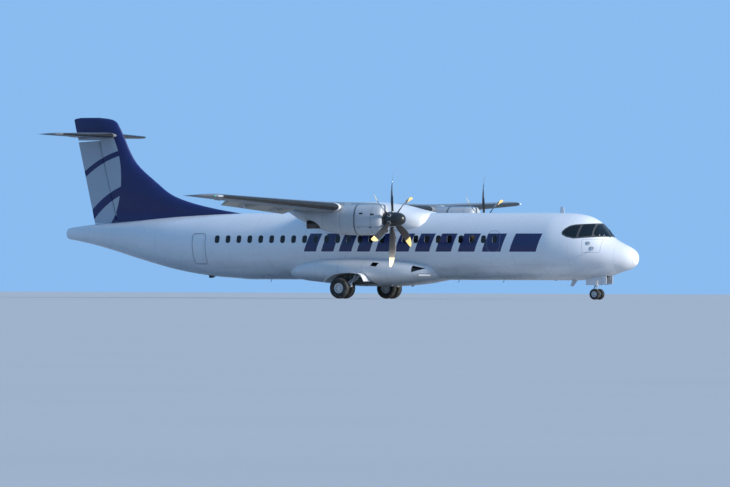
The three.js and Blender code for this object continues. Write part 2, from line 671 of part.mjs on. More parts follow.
/** Fin, rudder, fin cap, tailplane and elevators. */
function buildTail(skinCutter) {
  const foot = RUDDER.low - 400;
  const cut = [rudderHinge(foot) - rudderRadius(RUDDER.low) - CLEARANCE,
    rudderHinge(RUDDER.high) - rudderRadius(RUDDER.high) - CLEARANCE];
  const head = atHeight(RUDDER.high + RUDDER.headGap);
  const rudderSpace = sidePrism([
    [cut[0], atHeight(foot)], [cut[1], head],
    [cut[1] + REACH * 3, head], [cut[1] + REACH * 3, atHeight(foot)],
  ], -REACH, REACH);
  const fin = standingSurface(FIN_ROWS).subtract(skinCutter).subtract(rudderSpace)
    .subtract(tailplaneSurface(GAP));
  addPiece('fin', fin, 'navy');
  const ends = [[RUDDER.low, RUDDER.lowTrailing], [RUDDER.high, RUDDER.highTrailing]];
  const rudder = loft(ends.map(([height, edge]) => {
    const [, , trailing] = rowAt(FIN_ROWS, height);
    const hinge = rudderHinge(height);
    return teardropRing(hinge, trailing, rudderRadius(height), (station, offset) => {
      const share = (station - hinge) / (trailing - hinge);
      return place(station, offset, height + (edge - height) * Math.max(share, 0));
    });
  }));
  addPiece('rudder', rudder, 'white');
  let tailplane = tailplaneSurface();
  SIDES.forEach(([name, side]) => {
    const lead = noseRadius(TAILPLANE_ROWS, ELEVATOR.from, ELEVATOR.chord) + CLEARANCE;
    tailplane = tailplane.subtract(
      trailingCutter(TAILPLANE_ROWS, ELEVATOR.from, ELEVATOR.to, ELEVATOR.chord, side, lead),
    );
    addPiece(`elevator_${name}`, hingedSurface(TAILPLANE_ROWS, ELEVATOR, side), 'grey');
  });
  addPiece('tailplane', tailplane, 'grey');
  addPiece('fin_cap', standingSurface(FIN_CAP_ROWS).subtract(tailplaneSurface(GAP)), 'navy');
}

/** Nacelle with its intake, and the engine block on the floor of its cavity. */
function buildNacelles() {
  const wing = wingCentre(GAP);
  SIDES.forEach(([name, side]) => {
    const y = side * ENGINE_Y;
    const { from, to, halfWidth, low, high } = NACELLE_CAVITY;
    const cavity = box(from, to, y - halfWidth, y + halfWidth, low, high);
    const intake = box(from - REACH, from + 20, y - INTAKE.halfWidth, y + INTAKE.halfWidth, INTAKE.low, INTAKE.high);
    const shaftHole = rod(
      place(from + 20, y, SHAFT_HEIGHT), place(from - REACH, y, SHAFT_HEIGHT), PROPELLER.shaftRadius + 50,
    );
    const [front, back] = [EXHAUST.front, EXHAUST.back].map(([station, out, height]) => (
      place(station, y + side * (out - 130), height)));
    const shell = fairing(NACELLE_ROWS, y, NACELLE_POWER, NACELLE_SEGMENTS).subtract(wing)
      .subtract(cavity).subtract(intake).subtract(shaftHole)
      .subtract(rod(front, back, EXHAUST.outer + GAP));
    addPiece(`nacelle_${name}`, shell, 'white');
    const pipe = rod(front.clone().lerp(back, 0.01), back, EXHAUST.outer)
      .subtract(rod(front.clone().lerp(back, 0.1), back.clone().lerp(front, -0.1), EXHAUST.inner));
    addPiece(`exhaust_${name}`, pipe, 'hotMetal');
    const block = box(
      ENGINE_BLOCK.from, ENGINE_BLOCK.to, y - ENGINE_BLOCK.halfWidth, y + ENGINE_BLOCK.halfWidth,
      low + GAP, ENGINE_BLOCK.high,
    );
    addPiece(`engine_${name}`, block, 'steel');
  });
}

/** One blade that points up, at a hub on the origin. */
function blade() {
  return loft(BLADE_ROWS.map(([radius, chord, thickness, pitch, sweep]) => {
    const angle = THREE.MathUtils.degToRad(pitch);
    const section = [[0.5, 0], [0.3, 0.36], [-0.05, 0.5], [-0.5, 0.05], [-0.5, -0.05], [-0.05, -0.5],
      [0.3, -0.36]];
    return section.map(([along, across]) => new THREE.Vector3(
      along * chord * Math.sin(angle) + across * thickness * Math.cos(angle),
      sweep - along * chord * Math.cos(angle) + across * thickness * Math.sin(angle),
      radius,
    ));
  }));
}

/** Propellers with their shafts, and the spinners before them. */
function buildPropellers() {
  const { station, hubRadius, hubHalf, shaftRadius, shaftEnd, blades, tipStation } = PROPELLER;
  const oneBlade = toGeometry(blade());
  SIDES.forEach(([name, side]) => {
    const hub = place(station, side * ENGINE_Y, SHAFT_HEIGHT);
    const ahead = (distance) => hub.clone().add(new THREE.Vector3(distance, 0, 0));
    let propeller = rod(ahead(-hubHalf), ahead(hubHalf), hubRadius, hubRadius - 14, 24)
      .add(rod(ahead(station - shaftEnd), ahead(0), shaftRadius));
    for (let i = 0; i < blades; i += 1) {
      const turnedBlade = oneBlade.clone().rotateX((i * 2 * Math.PI) / blades);
      propeller = propeller.add(toSolid(turnedBlade.translate(...hub.toArray())));
    }
    addPiece(`propeller_${name}`, propeller, 'black');
    const length = station - hubHalf - GAP - tipStation;
    const dome = [[1, 0], [0.93, 0.25], [0.8, 0.5], [0.6, 0.72], [0.36, 0.89], [0.16, 0.97], [0, 1]];
    const profile = [[0, 0], ...dome.map(([radius, share]) => [radius * (hubRadius - 16), share * length])];
    const points = profile.map(([radius, offset]) => new THREE.Vector2(radius, offset));
    const spinner = new THREE.LatheGeometry(points, 24).rotateZ(-Math.PI / 2);
    addPiece(`spinner_${name}`, toSolid(spinner.translate(...ahead(hubHalf + GAP).toArray())), 'black');
  });
}

/** A tyre about an axis along Y, with rounded shoulders. */
function tyre(centre, { tyreRadius, tyreWidth, rimRadius }) {
  const half = tyreWidth / 2;
  const wall = tyreRadius - rimRadius;
  const right = [[rimRadius + GAP, half * 0.74], [rimRadius + wall * 0.42, half],
    [rimRadius + wall * 0.76, half * 0.9], [tyreRadius - wall * 0.05, half * 0.58]];
  const left = right.toReversed().map(([radius, offset]) => [radius, -offset]);
  return turned([...right, [tyreRadius, 0], ...left, right[0]], centre);
}

/** Two rims on one axle, as one turning piece. */
function twinHub(centre, { spacing, rimRadius, rimWidth, axleRadius }) {
  const outer = (spacing + rimWidth) / 2;
  const inner = (spacing - rimWidth) / 2;
  const half = [
    [0, outer - 8], [rimRadius * 0.32, outer - 8], [rimRadius * 0.4, outer - 44],
    [rimRadius * 0.86, outer], [rimRadius, outer], [rimRadius, inner], [axleRadius, inner + 20],
  ];
  const mirroredHalf = half.toReversed().map(([radius, offset]) => [radius, -offset]);
  return turned([...half, ...mirroredHalf], centre);
}

/** Main gear: legs, wheels, and the shelf doors over the wheels. */
function buildMainGear(skinCutter) {
  const gear = MAIN_GEAR;
  SIDES.forEach(([name, side]) => {
    const axle = new THREE.Vector3(atStation(gear.station), (side * gear.track) / 2, gear.tyreRadius);
    const [top, knee] = legEnds(side);
    const across = (y, reach) => axle.clone().add(new THREE.Vector3(0, y + reach, 0));
    const wall = new THREE.Vector3(top.x, side * (BAY_WALL_Y - 30), 760);
    const keelWall = box(11000, 13700, -BAY_WALL_Y - GAP, BAY_WALL_Y + GAP, -AXIS_Z, -1000);
    const roof = new THREE.Vector3(top.x + 210, side * 1560, 1030);
    const leg = rod(top, knee, gear.legRadius + 8, gear.legRadius)
      .add(rod(knee.clone().setZ(640), knee.clone().setZ(500), gear.legRadius))
      .add(rod(knee.clone().setZ(545), axle, gear.legRadius, gear.legRadius - 6))
      .add(rod(roof, knee.clone().setZ(560), 34))
      .add(rod(wall, top.clone().lerp(knee, 0.72), 26))
      .add(rod(across(0, -58), across(0, 58), 92, 92, 20))
      .subtract(rod(across(0, -90), across(0, 90), gear.axleRadius + CLEARANCE, gear.axleRadius + CLEARANCE, 20))
      .subtract(skinCutter).subtract(keelWall);
    addPiece(`main_leg_${name}`, leg, 'steel');
    addPiece(`main_wheels_${name}`, twinHub(axle, gear), 'steel');
    [['inner', -side], ['outer', side]].forEach(([part, way]) => {
      addPiece(`main_tyre_${part}_${name}`, tyre(across(0, (way * gear.spacing) / 2), gear), 'rubber');
    });
    const shelf = bayPrism(side, GAP, BAY_WALL_Y + 500, SHELF_DOOR.outerY)
      .subtract(bayPrism(side, SHELF_DOOR.thickness, BAY_WALL_Y, SHELF_DOOR.outerY + REACH))
      .subtract(box(11000, 13700, -REACH * 3, REACH * 3, -AXIS_Z, 720 - AXIS_Z))
      .subtract(rod(top, knee, gear.legRadius + 30));
    addPiece(`main_gear_door_${name}`, shelf, 'white');
  });
}

/** Nose gear: the fixed leg, the steered strut, its wheels and the bay doors. */
function buildNoseGear(skinCutter) {
  const gear = NOSE_GEAR;
  const at = (ahead, y, z) => new THREE.Vector3(atStation(gear.station) + ahead, y, z);
  const leg = rod(at(0, 0, gear.legFoot), at(0, 0, gear.legTop), gear.legRadius)
    .add(rod(at(0, GAP - NOSE_BAY.halfWidth, gear.legTop), at(0, NOSE_BAY.halfWidth - GAP, gear.legTop), 42))
    .add(rod(at(20, 0, 930), at(500, 0, gear.legTop), 30))
    .add(rod(at(500, GAP - NOSE_BAY.halfWidth, gear.legTop), at(500, NOSE_BAY.halfWidth - GAP, gear.legTop), 30));
  addPiece('nose_leg', leg, 'steel');
  const axleBore = rod(at(0, -90, gear.tyreRadius), at(0, 90, gear.tyreRadius), gear.axleRadius + CLEARANCE);
  const strut = rod(at(0, 0, gear.legFoot - CLEARANCE), at(0, 0, gear.legFoot - 75), 86)
    .add(rod(at(0, 0, gear.legFoot - 20), at(0, 0, gear.tyreRadius), gear.pistonRadius))
    .add(rod(at(0, -56, gear.tyreRadius), at(0, 56, gear.tyreRadius), 62, 62, 20))
    .add(box(gear.station - 105, gear.station - 45, -38, 38, gear.tyreRadius - 34 - AXIS_Z, gear.tyreRadius + 34 - AXIS_Z))
    .add(rod(at(-60, 0, gear.legFoot - 60), at(-150, 0, 430), 20))
    .add(rod(at(-150, 0, 430), at(-40, 0, 275), 20))
    .subtract(axleBore);
  addPiece('nose_strut', strut, 'steel');
  const axle = at(0, 0, gear.tyreRadius);
  addPiece('nose_wheels', twinHub(axle, gear), 'steel');
  SIDES.forEach(([name, side]) => {
    addPiece(`nose_tyre_${name}`, tyre(at(0, (side * gear.spacing) / 2, gear.tyreRadius), gear), 'rubber');
    const outline = [
      [1290, 640], [1660, 610], [1660, 800], [1730, 800], [1730, 600], [2220, 600], [2220, 1100], [1290, 1100],
    ];
    const edges = [side * (NOSE_BAY.halfWidth + 22), side * (NOSE_BAY.halfWidth + 46)].toSorted((a, b) => a - b);
    addPiece(`nose_gear_door_${name}`, sidePrism(outline, ...edges).subtract(skinCutter), 'white');
  });
}

/** The blade aerials over and under the forward fuselage. */
function buildAerials(skinCutter) {
  const top = sidePrism([[3310, 3400], [3410, 3820], [3550, 3820], [3620, 3400]], -11, 11);
  const belly = sidePrism([[2640, 900], [2930, 545], [3090, 545], [2930, 900]], -11, 11);
  addPiece('antenna_top', top.subtract(skinCutter), 'white');
  addPiece('antenna_belly', belly.subtract(skinCutter), 'white');
}

const skin = fuselage();
const skinCutter = fuselage(GAP);
buildFuselage(skin);
buildFairings(skinCutter);
buildWing();
buildTail(skinCutter);
buildNacelles();
buildPropellers();
buildMainGear(skinCutter);
buildNoseGear(skinCutter);
buildAerials(skinCutter);

export default airliner;
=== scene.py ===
"""A parked twin-turboprop regional airliner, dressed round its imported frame.

Lengths are metres in the frame's own axes: +X to the nose, +Y to the left wing tip, +Z up.
A station is a distance aft of the nose tip, and a height is over the fuselage axis.
"""
import logging
import math
from dataclasses import dataclass
from enum import Enum, IntEnum
from functools import reduce
from typing import Callable, Iterable, Sequence

import bmesh
import bpy
import numpy as np
from mathutils import Matrix, Vector


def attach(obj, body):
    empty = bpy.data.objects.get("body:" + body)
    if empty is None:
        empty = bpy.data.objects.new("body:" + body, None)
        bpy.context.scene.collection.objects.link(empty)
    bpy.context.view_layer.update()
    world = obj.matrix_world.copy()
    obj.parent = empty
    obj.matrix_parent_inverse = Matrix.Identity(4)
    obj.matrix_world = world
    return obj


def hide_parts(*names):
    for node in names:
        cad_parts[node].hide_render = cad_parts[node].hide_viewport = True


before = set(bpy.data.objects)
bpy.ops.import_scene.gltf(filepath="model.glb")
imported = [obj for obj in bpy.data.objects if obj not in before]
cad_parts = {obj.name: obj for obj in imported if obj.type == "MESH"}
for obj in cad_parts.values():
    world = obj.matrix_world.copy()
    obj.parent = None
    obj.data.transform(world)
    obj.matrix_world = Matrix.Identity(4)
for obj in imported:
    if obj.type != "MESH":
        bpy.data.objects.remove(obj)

Piece = bpy.types.Object
Socket = bpy.types.NodeSocket
Tree = bpy.types.NodeTree
Ring = list[Vector]
Row = tuple[float, ...]
Colour = tuple[float, float, float]
Value = float | Socket

LOG = logging.getLogger("airliner")
LENGTH = 27.166
AXIS_Z = 2.18
CREASE = math.radians(33)
SHAFT = Vector((4.353, 4.05, 3.27))
CLEAR = 0.01
AHEAD = Vector((1, 0, 0))
LEFTWARD = Vector((0, 1, 0))
UP = Vector((0, 0, 1))


class Side(IntEnum):
    """The aircraft's two sides, each with the sign of its Y."""

    LEFT = 1
    RIGHT = -1

    @property
    def label(self) -> str:
        """The side's word in the names of pieces and nodes."""
        return self.name.lower()


def x_at(station: float) -> float:
    """X at a station."""
    return LENGTH / 2 - station


def at(station: float, y: float, height: float) -> Vector:
    """The point at a station, a span place and a height."""
    return Vector((x_at(station), y, AXIS_Z + height))


def side_view(outline: Sequence[Row]) -> list[Row]:
    """An outline's X and Z, from its stations and heights."""
    return [(x_at(station), AXIS_Z + height) for station, height in outline]


def on_side(side: int, inner: float, outer: float) -> list[float]:
    """Two distances from the middle plane on one side, in rising order along Y."""
    return sorted((side * inner, side * outer))


def turns(count: int) -> list[float]:
    """Equal angles round a full turn."""
    return [2 * math.pi * i / count for i in range(count)]


def linked(name: str, data: bpy.types.ID) -> Piece:
    """A new object of the scene.

    Args:
        name: its name.
        data: its mesh, light or camera.

    Returns:
        The object.
    """
    made = bpy.data.objects.new(name, data)
    bpy.context.scene.collection.objects.link(made)
    return made


def add_node(tree: Tree, kind: str, inputs: dict, **settings: object) -> bpy.types.Node:
    """Adds a node to a tree.

    Args:
        tree: the tree.
        kind: the node's type.
        inputs: socket name or number to a value or another node's socket.
        settings: the node's own properties.

    Returns:
        The new node.
    """
    made = tree.nodes.new(kind)
    for key, value in settings.items():
        setattr(made, key, value)
    for key, value in inputs.items():
        if isinstance(value, Socket):
            tree.links.new(value, made.inputs[key])
        else:
            made.inputs[key].default_value = value
    return made


class Coat(Enum):
    """The finishes, each with the record's slot that it repaints from."""

    HULL = ("hull_paint", "white_paint")
    WHITE = ("panel_paint", "white_paint")
    # The cowls' finish is a darker copy of the white paint, partly painted shade.
    COWL = ("cowl_paint", "white_paint")
    TRIM = ("window_surround", "black_paint")
    TAIL = ("tail_paint", "navy_paint")
    # The wing's and the flaps' finishes are shaded and sunlit copies of the one grey paint: painted shade and
    # painted light.
    WING = ("wing_paint", "grey_paint")
    FLAP = ("flap_paint", "grey_paint")
    BOOT = ("boot_rubber", "black_paint")
    BLACK = ("black_paint", "black_paint")
    BLADE = ("blade_paint", "black_paint")
    GLASS = ("dark_glass", "glazing")
    STEEL = ("gear_steel", "gear_metal")
    CHROME = ("bright_steel", "gear_metal")
    WHEEL = ("wheel_paint", "gear_metal")
    HOT = ("burnt_steel", "hot_metal")
    TYRE = ("tyre_rubber", "tyre_rubber")
    LINING = ("cabin_lining", "white_paint")
    BAY = ("bay_primer", "white_paint")
    GREEN_LAMP = ("green_lamp", "glazing")
    RED_LAMP = ("red_lamp", "glazing")
    CLEAR_LAMP = ("clear_lamp", "glazing")

    @property
    def slot(self) -> str:
        """The record's material slot."""
        return self.value[1]


class Shader:
    """One material's node tree, made a node at a time."""

    def __init__(self, name: str) -> None:
        """Starts an empty material that reads Object coordinates.

        Args:
            name: the material's name.
        """
        self.material = bpy.data.materials.new(name)
        self.material.use_nodes = True
        self.tree = self.material.node_tree
        self.tree.nodes.clear()
        self.position = self.tree.nodes.new("ShaderNodeTexCoord").outputs["Object"]
        axes = self.node("ShaderNodeSeparateXYZ", {"Vector": self.position})
        self.x, self.y, self.z = axes.outputs

    def node(self, kind: str, inputs: dict, **settings: object) -> bpy.types.Node:
        """Adds a node to the material's tree."""
        return add_node(self.tree, kind, inputs, **settings)

    def math(self, operation: str, *values: Value, clamp: bool = False) -> Socket:
        """A Math node's result."""
        inputs = dict(enumerate(values))
        return self.node("ShaderNodeMath", inputs, operation=operation, use_clamp=clamp).outputs[0]

    def square(self, first: Value, second: Value) -> Value:
        """The sum of two values' squares."""
        return self.math("ADD", self.both(first, first), self.both(second, second))

    def both(self, *masks: Value) -> Value:
        """The product of several masks."""
        return reduce(lambda product, mask: self.math("MULTIPLY", product, mask), masks)

    def either(self, *masks: Value) -> Value:
        """The largest of several masks."""
        return reduce(lambda largest, mask: self.math("MAXIMUM", largest, mask), masks)

    def between(self, value: Value, low: float, high: float) -> Value:
        """1 where a value lies between two limits."""
        return self.both(self.math("GREATER_THAN", value, low), self.math("LESS_THAN", value, high))

    def line(self, value: Value, place: float, width: float) -> Value:
        """1 on a line of some width where a value passes a place."""
        return self.math("COMPARE", value, place, width / 2)

    def lines(self, value: Value, pitch: float, width: float) -> Value:
        """1 on lines that repeat at a pitch."""
        share = self.math("FRACT", self.math("DIVIDE", value, pitch))
        return self.line(share, 0.5, width / pitch)

    def remap(self, value: Value, low: float, high: float, to_low: float = 0.0,
              to_high: float = 1.0) -> Value:
        """A value moved from one range to another, held at both ends."""
        inputs = {"Value": value, "From Min": low, "From Max": high, "To Min": to_low, "To Max": to_high}
        return self.node("ShaderNodeMapRange", inputs).outputs[0]

    def noise(self, scale: float, stretch: Sequence[float] = (1, 1, 1), detail: float = 3.0) -> Value:
        """Noise from 0 to 1, which may be stretched along the axes.

        Args:
            scale: how fine it is.
            stretch: scale along each axis.
            detail: how many octaves.

        Returns:
            The noise.
        """
        point = self.node("ShaderNodeVectorMath", {0: self.position, 1: stretch}, operation="MULTIPLY")
        inputs = {"Vector": point.outputs[0], "Scale": scale, "Detail": detail, "Roughness": 0.55}
        return self.node("ShaderNodeTexNoise", inputs).outputs[0]

    def mix(self, share: Value, first: object, second: object) -> Socket:
        """Two colours mixed by a share."""
        inputs = {0: share, 6: self.colour(first), 7: self.colour(second)}
        return self.node("ShaderNodeMix", inputs, data_type="RGBA").outputs[2]

    @staticmethod
    def colour(value: object) -> object:
        """A colour with its alpha, or a socket as it is."""
        return value if isinstance(value, Socket) else (*value, 1.0)

    def frame(self, centre: Row, half: Row, radius: float, width: float) -> Value:
        """1 on a rounded rectangle's outline, seen from the side.

        Args:
            centre: its middle along X and Z.
            half: half its sizes along X and Z.
            radius: the radius of its corners.
            width: the line's width.

        Returns:
            The mask.
        """
        flat = self.node("ShaderNodeCombineXYZ", {"X": self.x, "Z": self.z}).outputs[0]
        steps = (
            ("SUBTRACT", (centre[0], 0, centre[1])), ("ABSOLUTE", None),
            ("SUBTRACT", (half[0] - radius, 0, half[1] - radius)), ("MAXIMUM", (0, 0, 0)),
        )
        for operation, other in steps:
            inputs = {0: flat} if other is None else {0: flat, 1: other}
            flat = self.node("ShaderNodeVectorMath", inputs, operation=operation).outputs[0]
        length = self.node("ShaderNodeVectorMath", {0: flat}, operation="LENGTH").outputs["Value"]
        return self.line(length, radius, width)

    def surface(self, inputs: dict, height: Value | None, depth: float) -> bpy.types.Material:
        """Ends the tree with a Principled shader over a bump.

        Args:
            inputs: the shader's socket values.
            height: the relief from 0 to 1, or None.
            depth: how deep the relief is, in metres.

        Returns:
            The material.
        """
        shader = self.node("ShaderNodeBsdfPrincipled", inputs)
        if height is not None:
            bump = self.node("ShaderNodeBump", {"Height": height, "Strength": 1.0, "Distance": depth})
            self.tree.links.new(bump.outputs[0], shader.inputs["Normal"])
        self.node("ShaderNodeOutputMaterial", {"Surface": shader.outputs[0]})
        return self.material


@dataclass(frozen=True)
class Finish:
    """A painted or bare surface with a little colour and gloss variation and a fine grain."""

    colour: Colour
    roughness: float = 0.4
    metallic: float = 0.0
    coat: float = 0.0
    mottle: float = 0.12
    mottle_scale: float = 1.1
    grain: float = 60.0
    depth: float = 0.0004
    glow: float = 0.0

    def tint(self, shader: Shader) -> Value:
        """The colour, with its slow variation.

        Args:
            shader: the material's tree.

        Returns:
            The colour.
        """
        dark = tuple(part * (1 - self.mottle) for part in self.colour)
        share = shader.remap(shader.noise(self.mottle_scale), 0.35, 0.65)
        return shader.mix(share, self.colour, dark)

    def relief(self, shader: Shader) -> Value:
        """The height of the surface, from 0 to 1."""
        return shader.noise(self.grain, detail=2.0)

    def build(self, name: str) -> bpy.types.Material:
        """The material of this finish.

        Args:
            name: the material's name.

        Returns:
            The material.
        """
        shader = Shader(name)
        rough = shader.remap(
            shader.noise(self.mottle_scale * 5), 0.3, 0.7, self.roughness * 0.8, self.roughness * 1.25,
        )
        inputs = {"Base Color": self.tint(shader), "Roughness": rough, "Metallic": self.metallic,
                  "Coat Weight": self.coat, "Coat Roughness": 0.08}
        if self.glow:
            inputs |= {"Emission Color": (*self.colour, 1.0), "Emission Strength": self.glow}
        return shader.surface(inputs, self.relief(shader), self.depth)


@dataclass(frozen=True)
class Panelled(Finish):
    """Paint over panels, with seams at a pitch along some axes, and a darker tone towards the bottom, which
    on the fuselage is painted shade.
    """

    pitch: tuple[float, float, float] = (1.2, 0.0, 0.9)
    seam: float = 0.012
    seam_shade: float = 0.35
    # The lower tone: its colour, its strength, and the heights where it is full and where it starts; on the
    # fuselage it is painted shade.
    dirt: Colour = (0.30, 0.29, 0.27)
    dirt_depth: float = 0.25
    dirt_low: float = 0.8
    dirt_high: float = 2.2
    seam_colour: Colour = (0.03, 0.03, 0.035)
    groove: float = 4.0

    def seams(self, shader: Shader) -> Value:
        """1 on the seams between panels."""
        axes = zip((shader.x, shader.y, shader.z), self.pitch)
        return shader.either(*(shader.lines(axis, pitch, self.seam) for axis, pitch in axes if pitch))

    def tint(self, shader: Shader) -> Value:
        """The colour, darker towards the bottom and at the seams.

        Args:
            shader: the material's tree.

        Returns:
            The colour.
        """
        # Darker towards the bottom, broken by streaks; on the fuselage this is painted shade.
        low = shader.remap(shader.z, self.dirt_high, self.dirt_low)
        streaks = shader.remap(shader.noise(1.6, (0.35, 1.4, 1.4), 6.0), 0.38, 0.68)
        toned_down = shader.mix(shader.both(low, streaks, self.dirt_depth), self.paint(shader), self.dirt)
        return shader.mix(shader.both(self.seams(shader), self.seam_shade), toned_down, self.seam_colour)

    def paint(self, shader: Shader) -> Value:
        """The clean paint."""
        return super().tint(shader)

    def relief(self, shader: Shader) -> Value:
        """The grain of the paint, and grooves at the seams."""
        groove = shader.math("MULTIPLY", self.seams(shader), -self.groove)
        return shader.math("ADD", super().relief(shader), groove)


@dataclass(frozen=True)
class CowlPaint(Panelled):
    """Silver-grey engine paint, with a dark band and seams at the cowls' own stations; the grey is a darker
    copy of the white paint and partly painted shade.
    """

    band: Row = (2.863, 0.07)
    joints: Row = (3.60, 2.20, 1.35, 0.55)
    crease: Row = (2.95, 2.78)
    band_colour: Colour = (0.05, 0.055, 0.065)
    band_share: float = 0.85

    def seams(self, shader: Shader) -> Value:
        """1 on the cowls' joints, and along both sides ahead of the band.

        Args:
            shader: the material's tree.

        Returns:
            The mask.
        """
        rings = (shader.line(shader.x, place, self.seam) for place in self.joints)
        height, start = self.crease
        side = shader.both(
            shader.line(shader.z, height, self.seam), shader.math("GREATER_THAN", shader.x, start),
        )
        return shader.either(*rings, side)

    def paint(self, shader: Shader) -> Value:
        """The grey paint with the band."""
        band = shader.line(shader.x, *self.band)
        return shader.mix(shader.both(band, self.band_share), super().paint(shader), self.band_colour)


@dataclass(frozen=True)
class HullPaint(Panelled):
    """White fuselage paint with slanted navy bars along the sides and outlined doors.

    Each outline has its side, 0 for both, its middle, half its sizes, its corners' radius and its width.
    """

    navy: Colour = (0.005, 0.012, 0.085)
    bars_front: float = 9.75
    bars_length: float = 11.1
    bars_middle: float = 2.33
    bars_half: float = 0.375
    bars_slant: float = 0.36
    bars_count: float = 11.0
    bars_growth: float = 1.25
    bars_share: float = 0.70
    outlines: tuple[tuple, ...] = (
        (0, (7.648, 2.385), (0.295, 0.43), 0.24, 0.022), (0, (11.96, 2.20), (0.36, 0.27), 0.05, 0.014),
        (Side.RIGHT, (-6.322, 2.065), (0.33, 0.64), 0.13, 0.03),
        (Side.LEFT, (-6.112, 2.165), (0.42, 0.89), 0.13, 0.03),
        (Side.LEFT, (9.9655, 2.015), (0.665, 0.79), 0.13, 0.03),
    )
    outline_colour: Colour = (0.16, 0.18, 0.22)
    outline_share: float = 0.7

    def paint(self, shader: Shader) -> Value:
        """White paint with the bars, and the doors' outlines.

        Args:
            shader: the material's tree.

        Returns:
            The colour.
        """
        above = shader.math("SUBTRACT", shader.z, self.bars_middle)
        leaning = shader.math("SUBTRACT", shader.x, shader.math("MULTIPLY", above, self.bars_slant))
        place = shader.math("DIVIDE", shader.math("SUBTRACT", self.bars_front, leaning), self.bars_length)
        order = shader.math("POWER", shader.math("MAXIMUM", place, 0.0), self.bars_growth)
        share = shader.math("FRACT", shader.math("MULTIPLY", order, self.bars_count))
        bars = shader.both(
            shader.math("LESS_THAN", share, self.bars_share), shader.between(place, 0.0, 1.0),
            shader.math("COMPARE", above, 0.0, self.bars_half),
        )
        halves = {
            Side.LEFT: shader.math("GREATER_THAN", shader.y, 0.0),
            Side.RIGHT: shader.math("LESS_THAN", shader.y, 0.0),
        }
        frames = [
            shader.both(halves[side], shader.frame(*shape)) if side else shader.frame(*shape)
            for side, *shape in self.outlines
        ]
        barred = shader.mix(bars, super().paint(shader), self.navy)
        drawn = shader.math("MULTIPLY", shader.either(*frames), self.outline_share)
        return shader.mix(drawn, barred, self.outline_colour)


@dataclass(frozen=True)
class TailPaint(Finish):
    """Navy paint with a pale round field behind, crossed by two navy arcs."""

    pale: Colour = (0.34, 0.39, 0.46)
    field_centre: Row = (-14.6, 5.1)
    field_radius: float = 3.78
    field_top: float = 6.78
    arc_centre: Row = (-9.4, 0.9)
    arcs: tuple[Row, ...] = ((5.45, 0.22), (3.9, 0.34))

    def distance(self, shader: Shader, centre: Row) -> Value:
        """How far a point is from a centre, seen from the side.

        Args:
            shader: the material's tree.
            centre: its X and Z.

        Returns:
            The distance.
        """
        across = shader.math("SUBTRACT", shader.x, centre[0])
        above = shader.math("SUBTRACT", shader.z, centre[1])
        return shader.math("SQRT", shader.square(across, above))

    def tint(self, shader: Shader) -> Value:
        """Navy, with the pale field and its arcs.

        Args:
            shader: the material's tree.

        Returns:
            The colour.
        """
        field = shader.both(
            shader.math("LESS_THAN", self.distance(shader, self.field_centre), self.field_radius),
            shader.math("LESS_THAN", shader.z, self.field_top),
        )
        radius = self.distance(shader, self.arc_centre)
        for middle, width in self.arcs:
            off = shader.math("SUBTRACT", 1.0, shader.line(radius, middle, width))
            field = shader.both(field, off)
        return shader.mix(field, super().tint(shader), self.pale)


@dataclass(frozen=True)
class BladePaint(Finish):
    """Dark blade paint with pale tips, by the distance from the propeller's shaft."""

    tip: Colour = (0.83, 0.63, 0.24)
    tip_start: float = 1.58

    def tint(self, shader: Shader) -> Value:
        """Dark paint with the pale tip.

        Args:
            shader: the material's tree.

        Returns:
            The colour.
        """
        across = shader.math("SUBTRACT", shader.math("ABSOLUTE", shader.y), SHAFT.y)
        above = shader.math("SUBTRACT", shader.z, SHAFT.z)
        outer = shader.math("GREATER_THAN", shader.square(across, above), self.tip_start ** 2)
        return shader.mix(outer, super().tint(shader), self.tip)


@dataclass(frozen=True)
class TyreRubber(Finish):
    """Black rubber, dustier on the tread."""

    dust: Colour = (0.10, 0.095, 0.09)
    dust_share: float = 0.6

    def tint(self, shader: Shader) -> Value:
        """Black with dusty patches."""
        patches = shader.remap(shader.noise(9.0, detail=6.0), 0.45, 0.7)
        return shader.mix(shader.math("MULTIPLY", patches, self.dust_share), self.colour, self.dust)


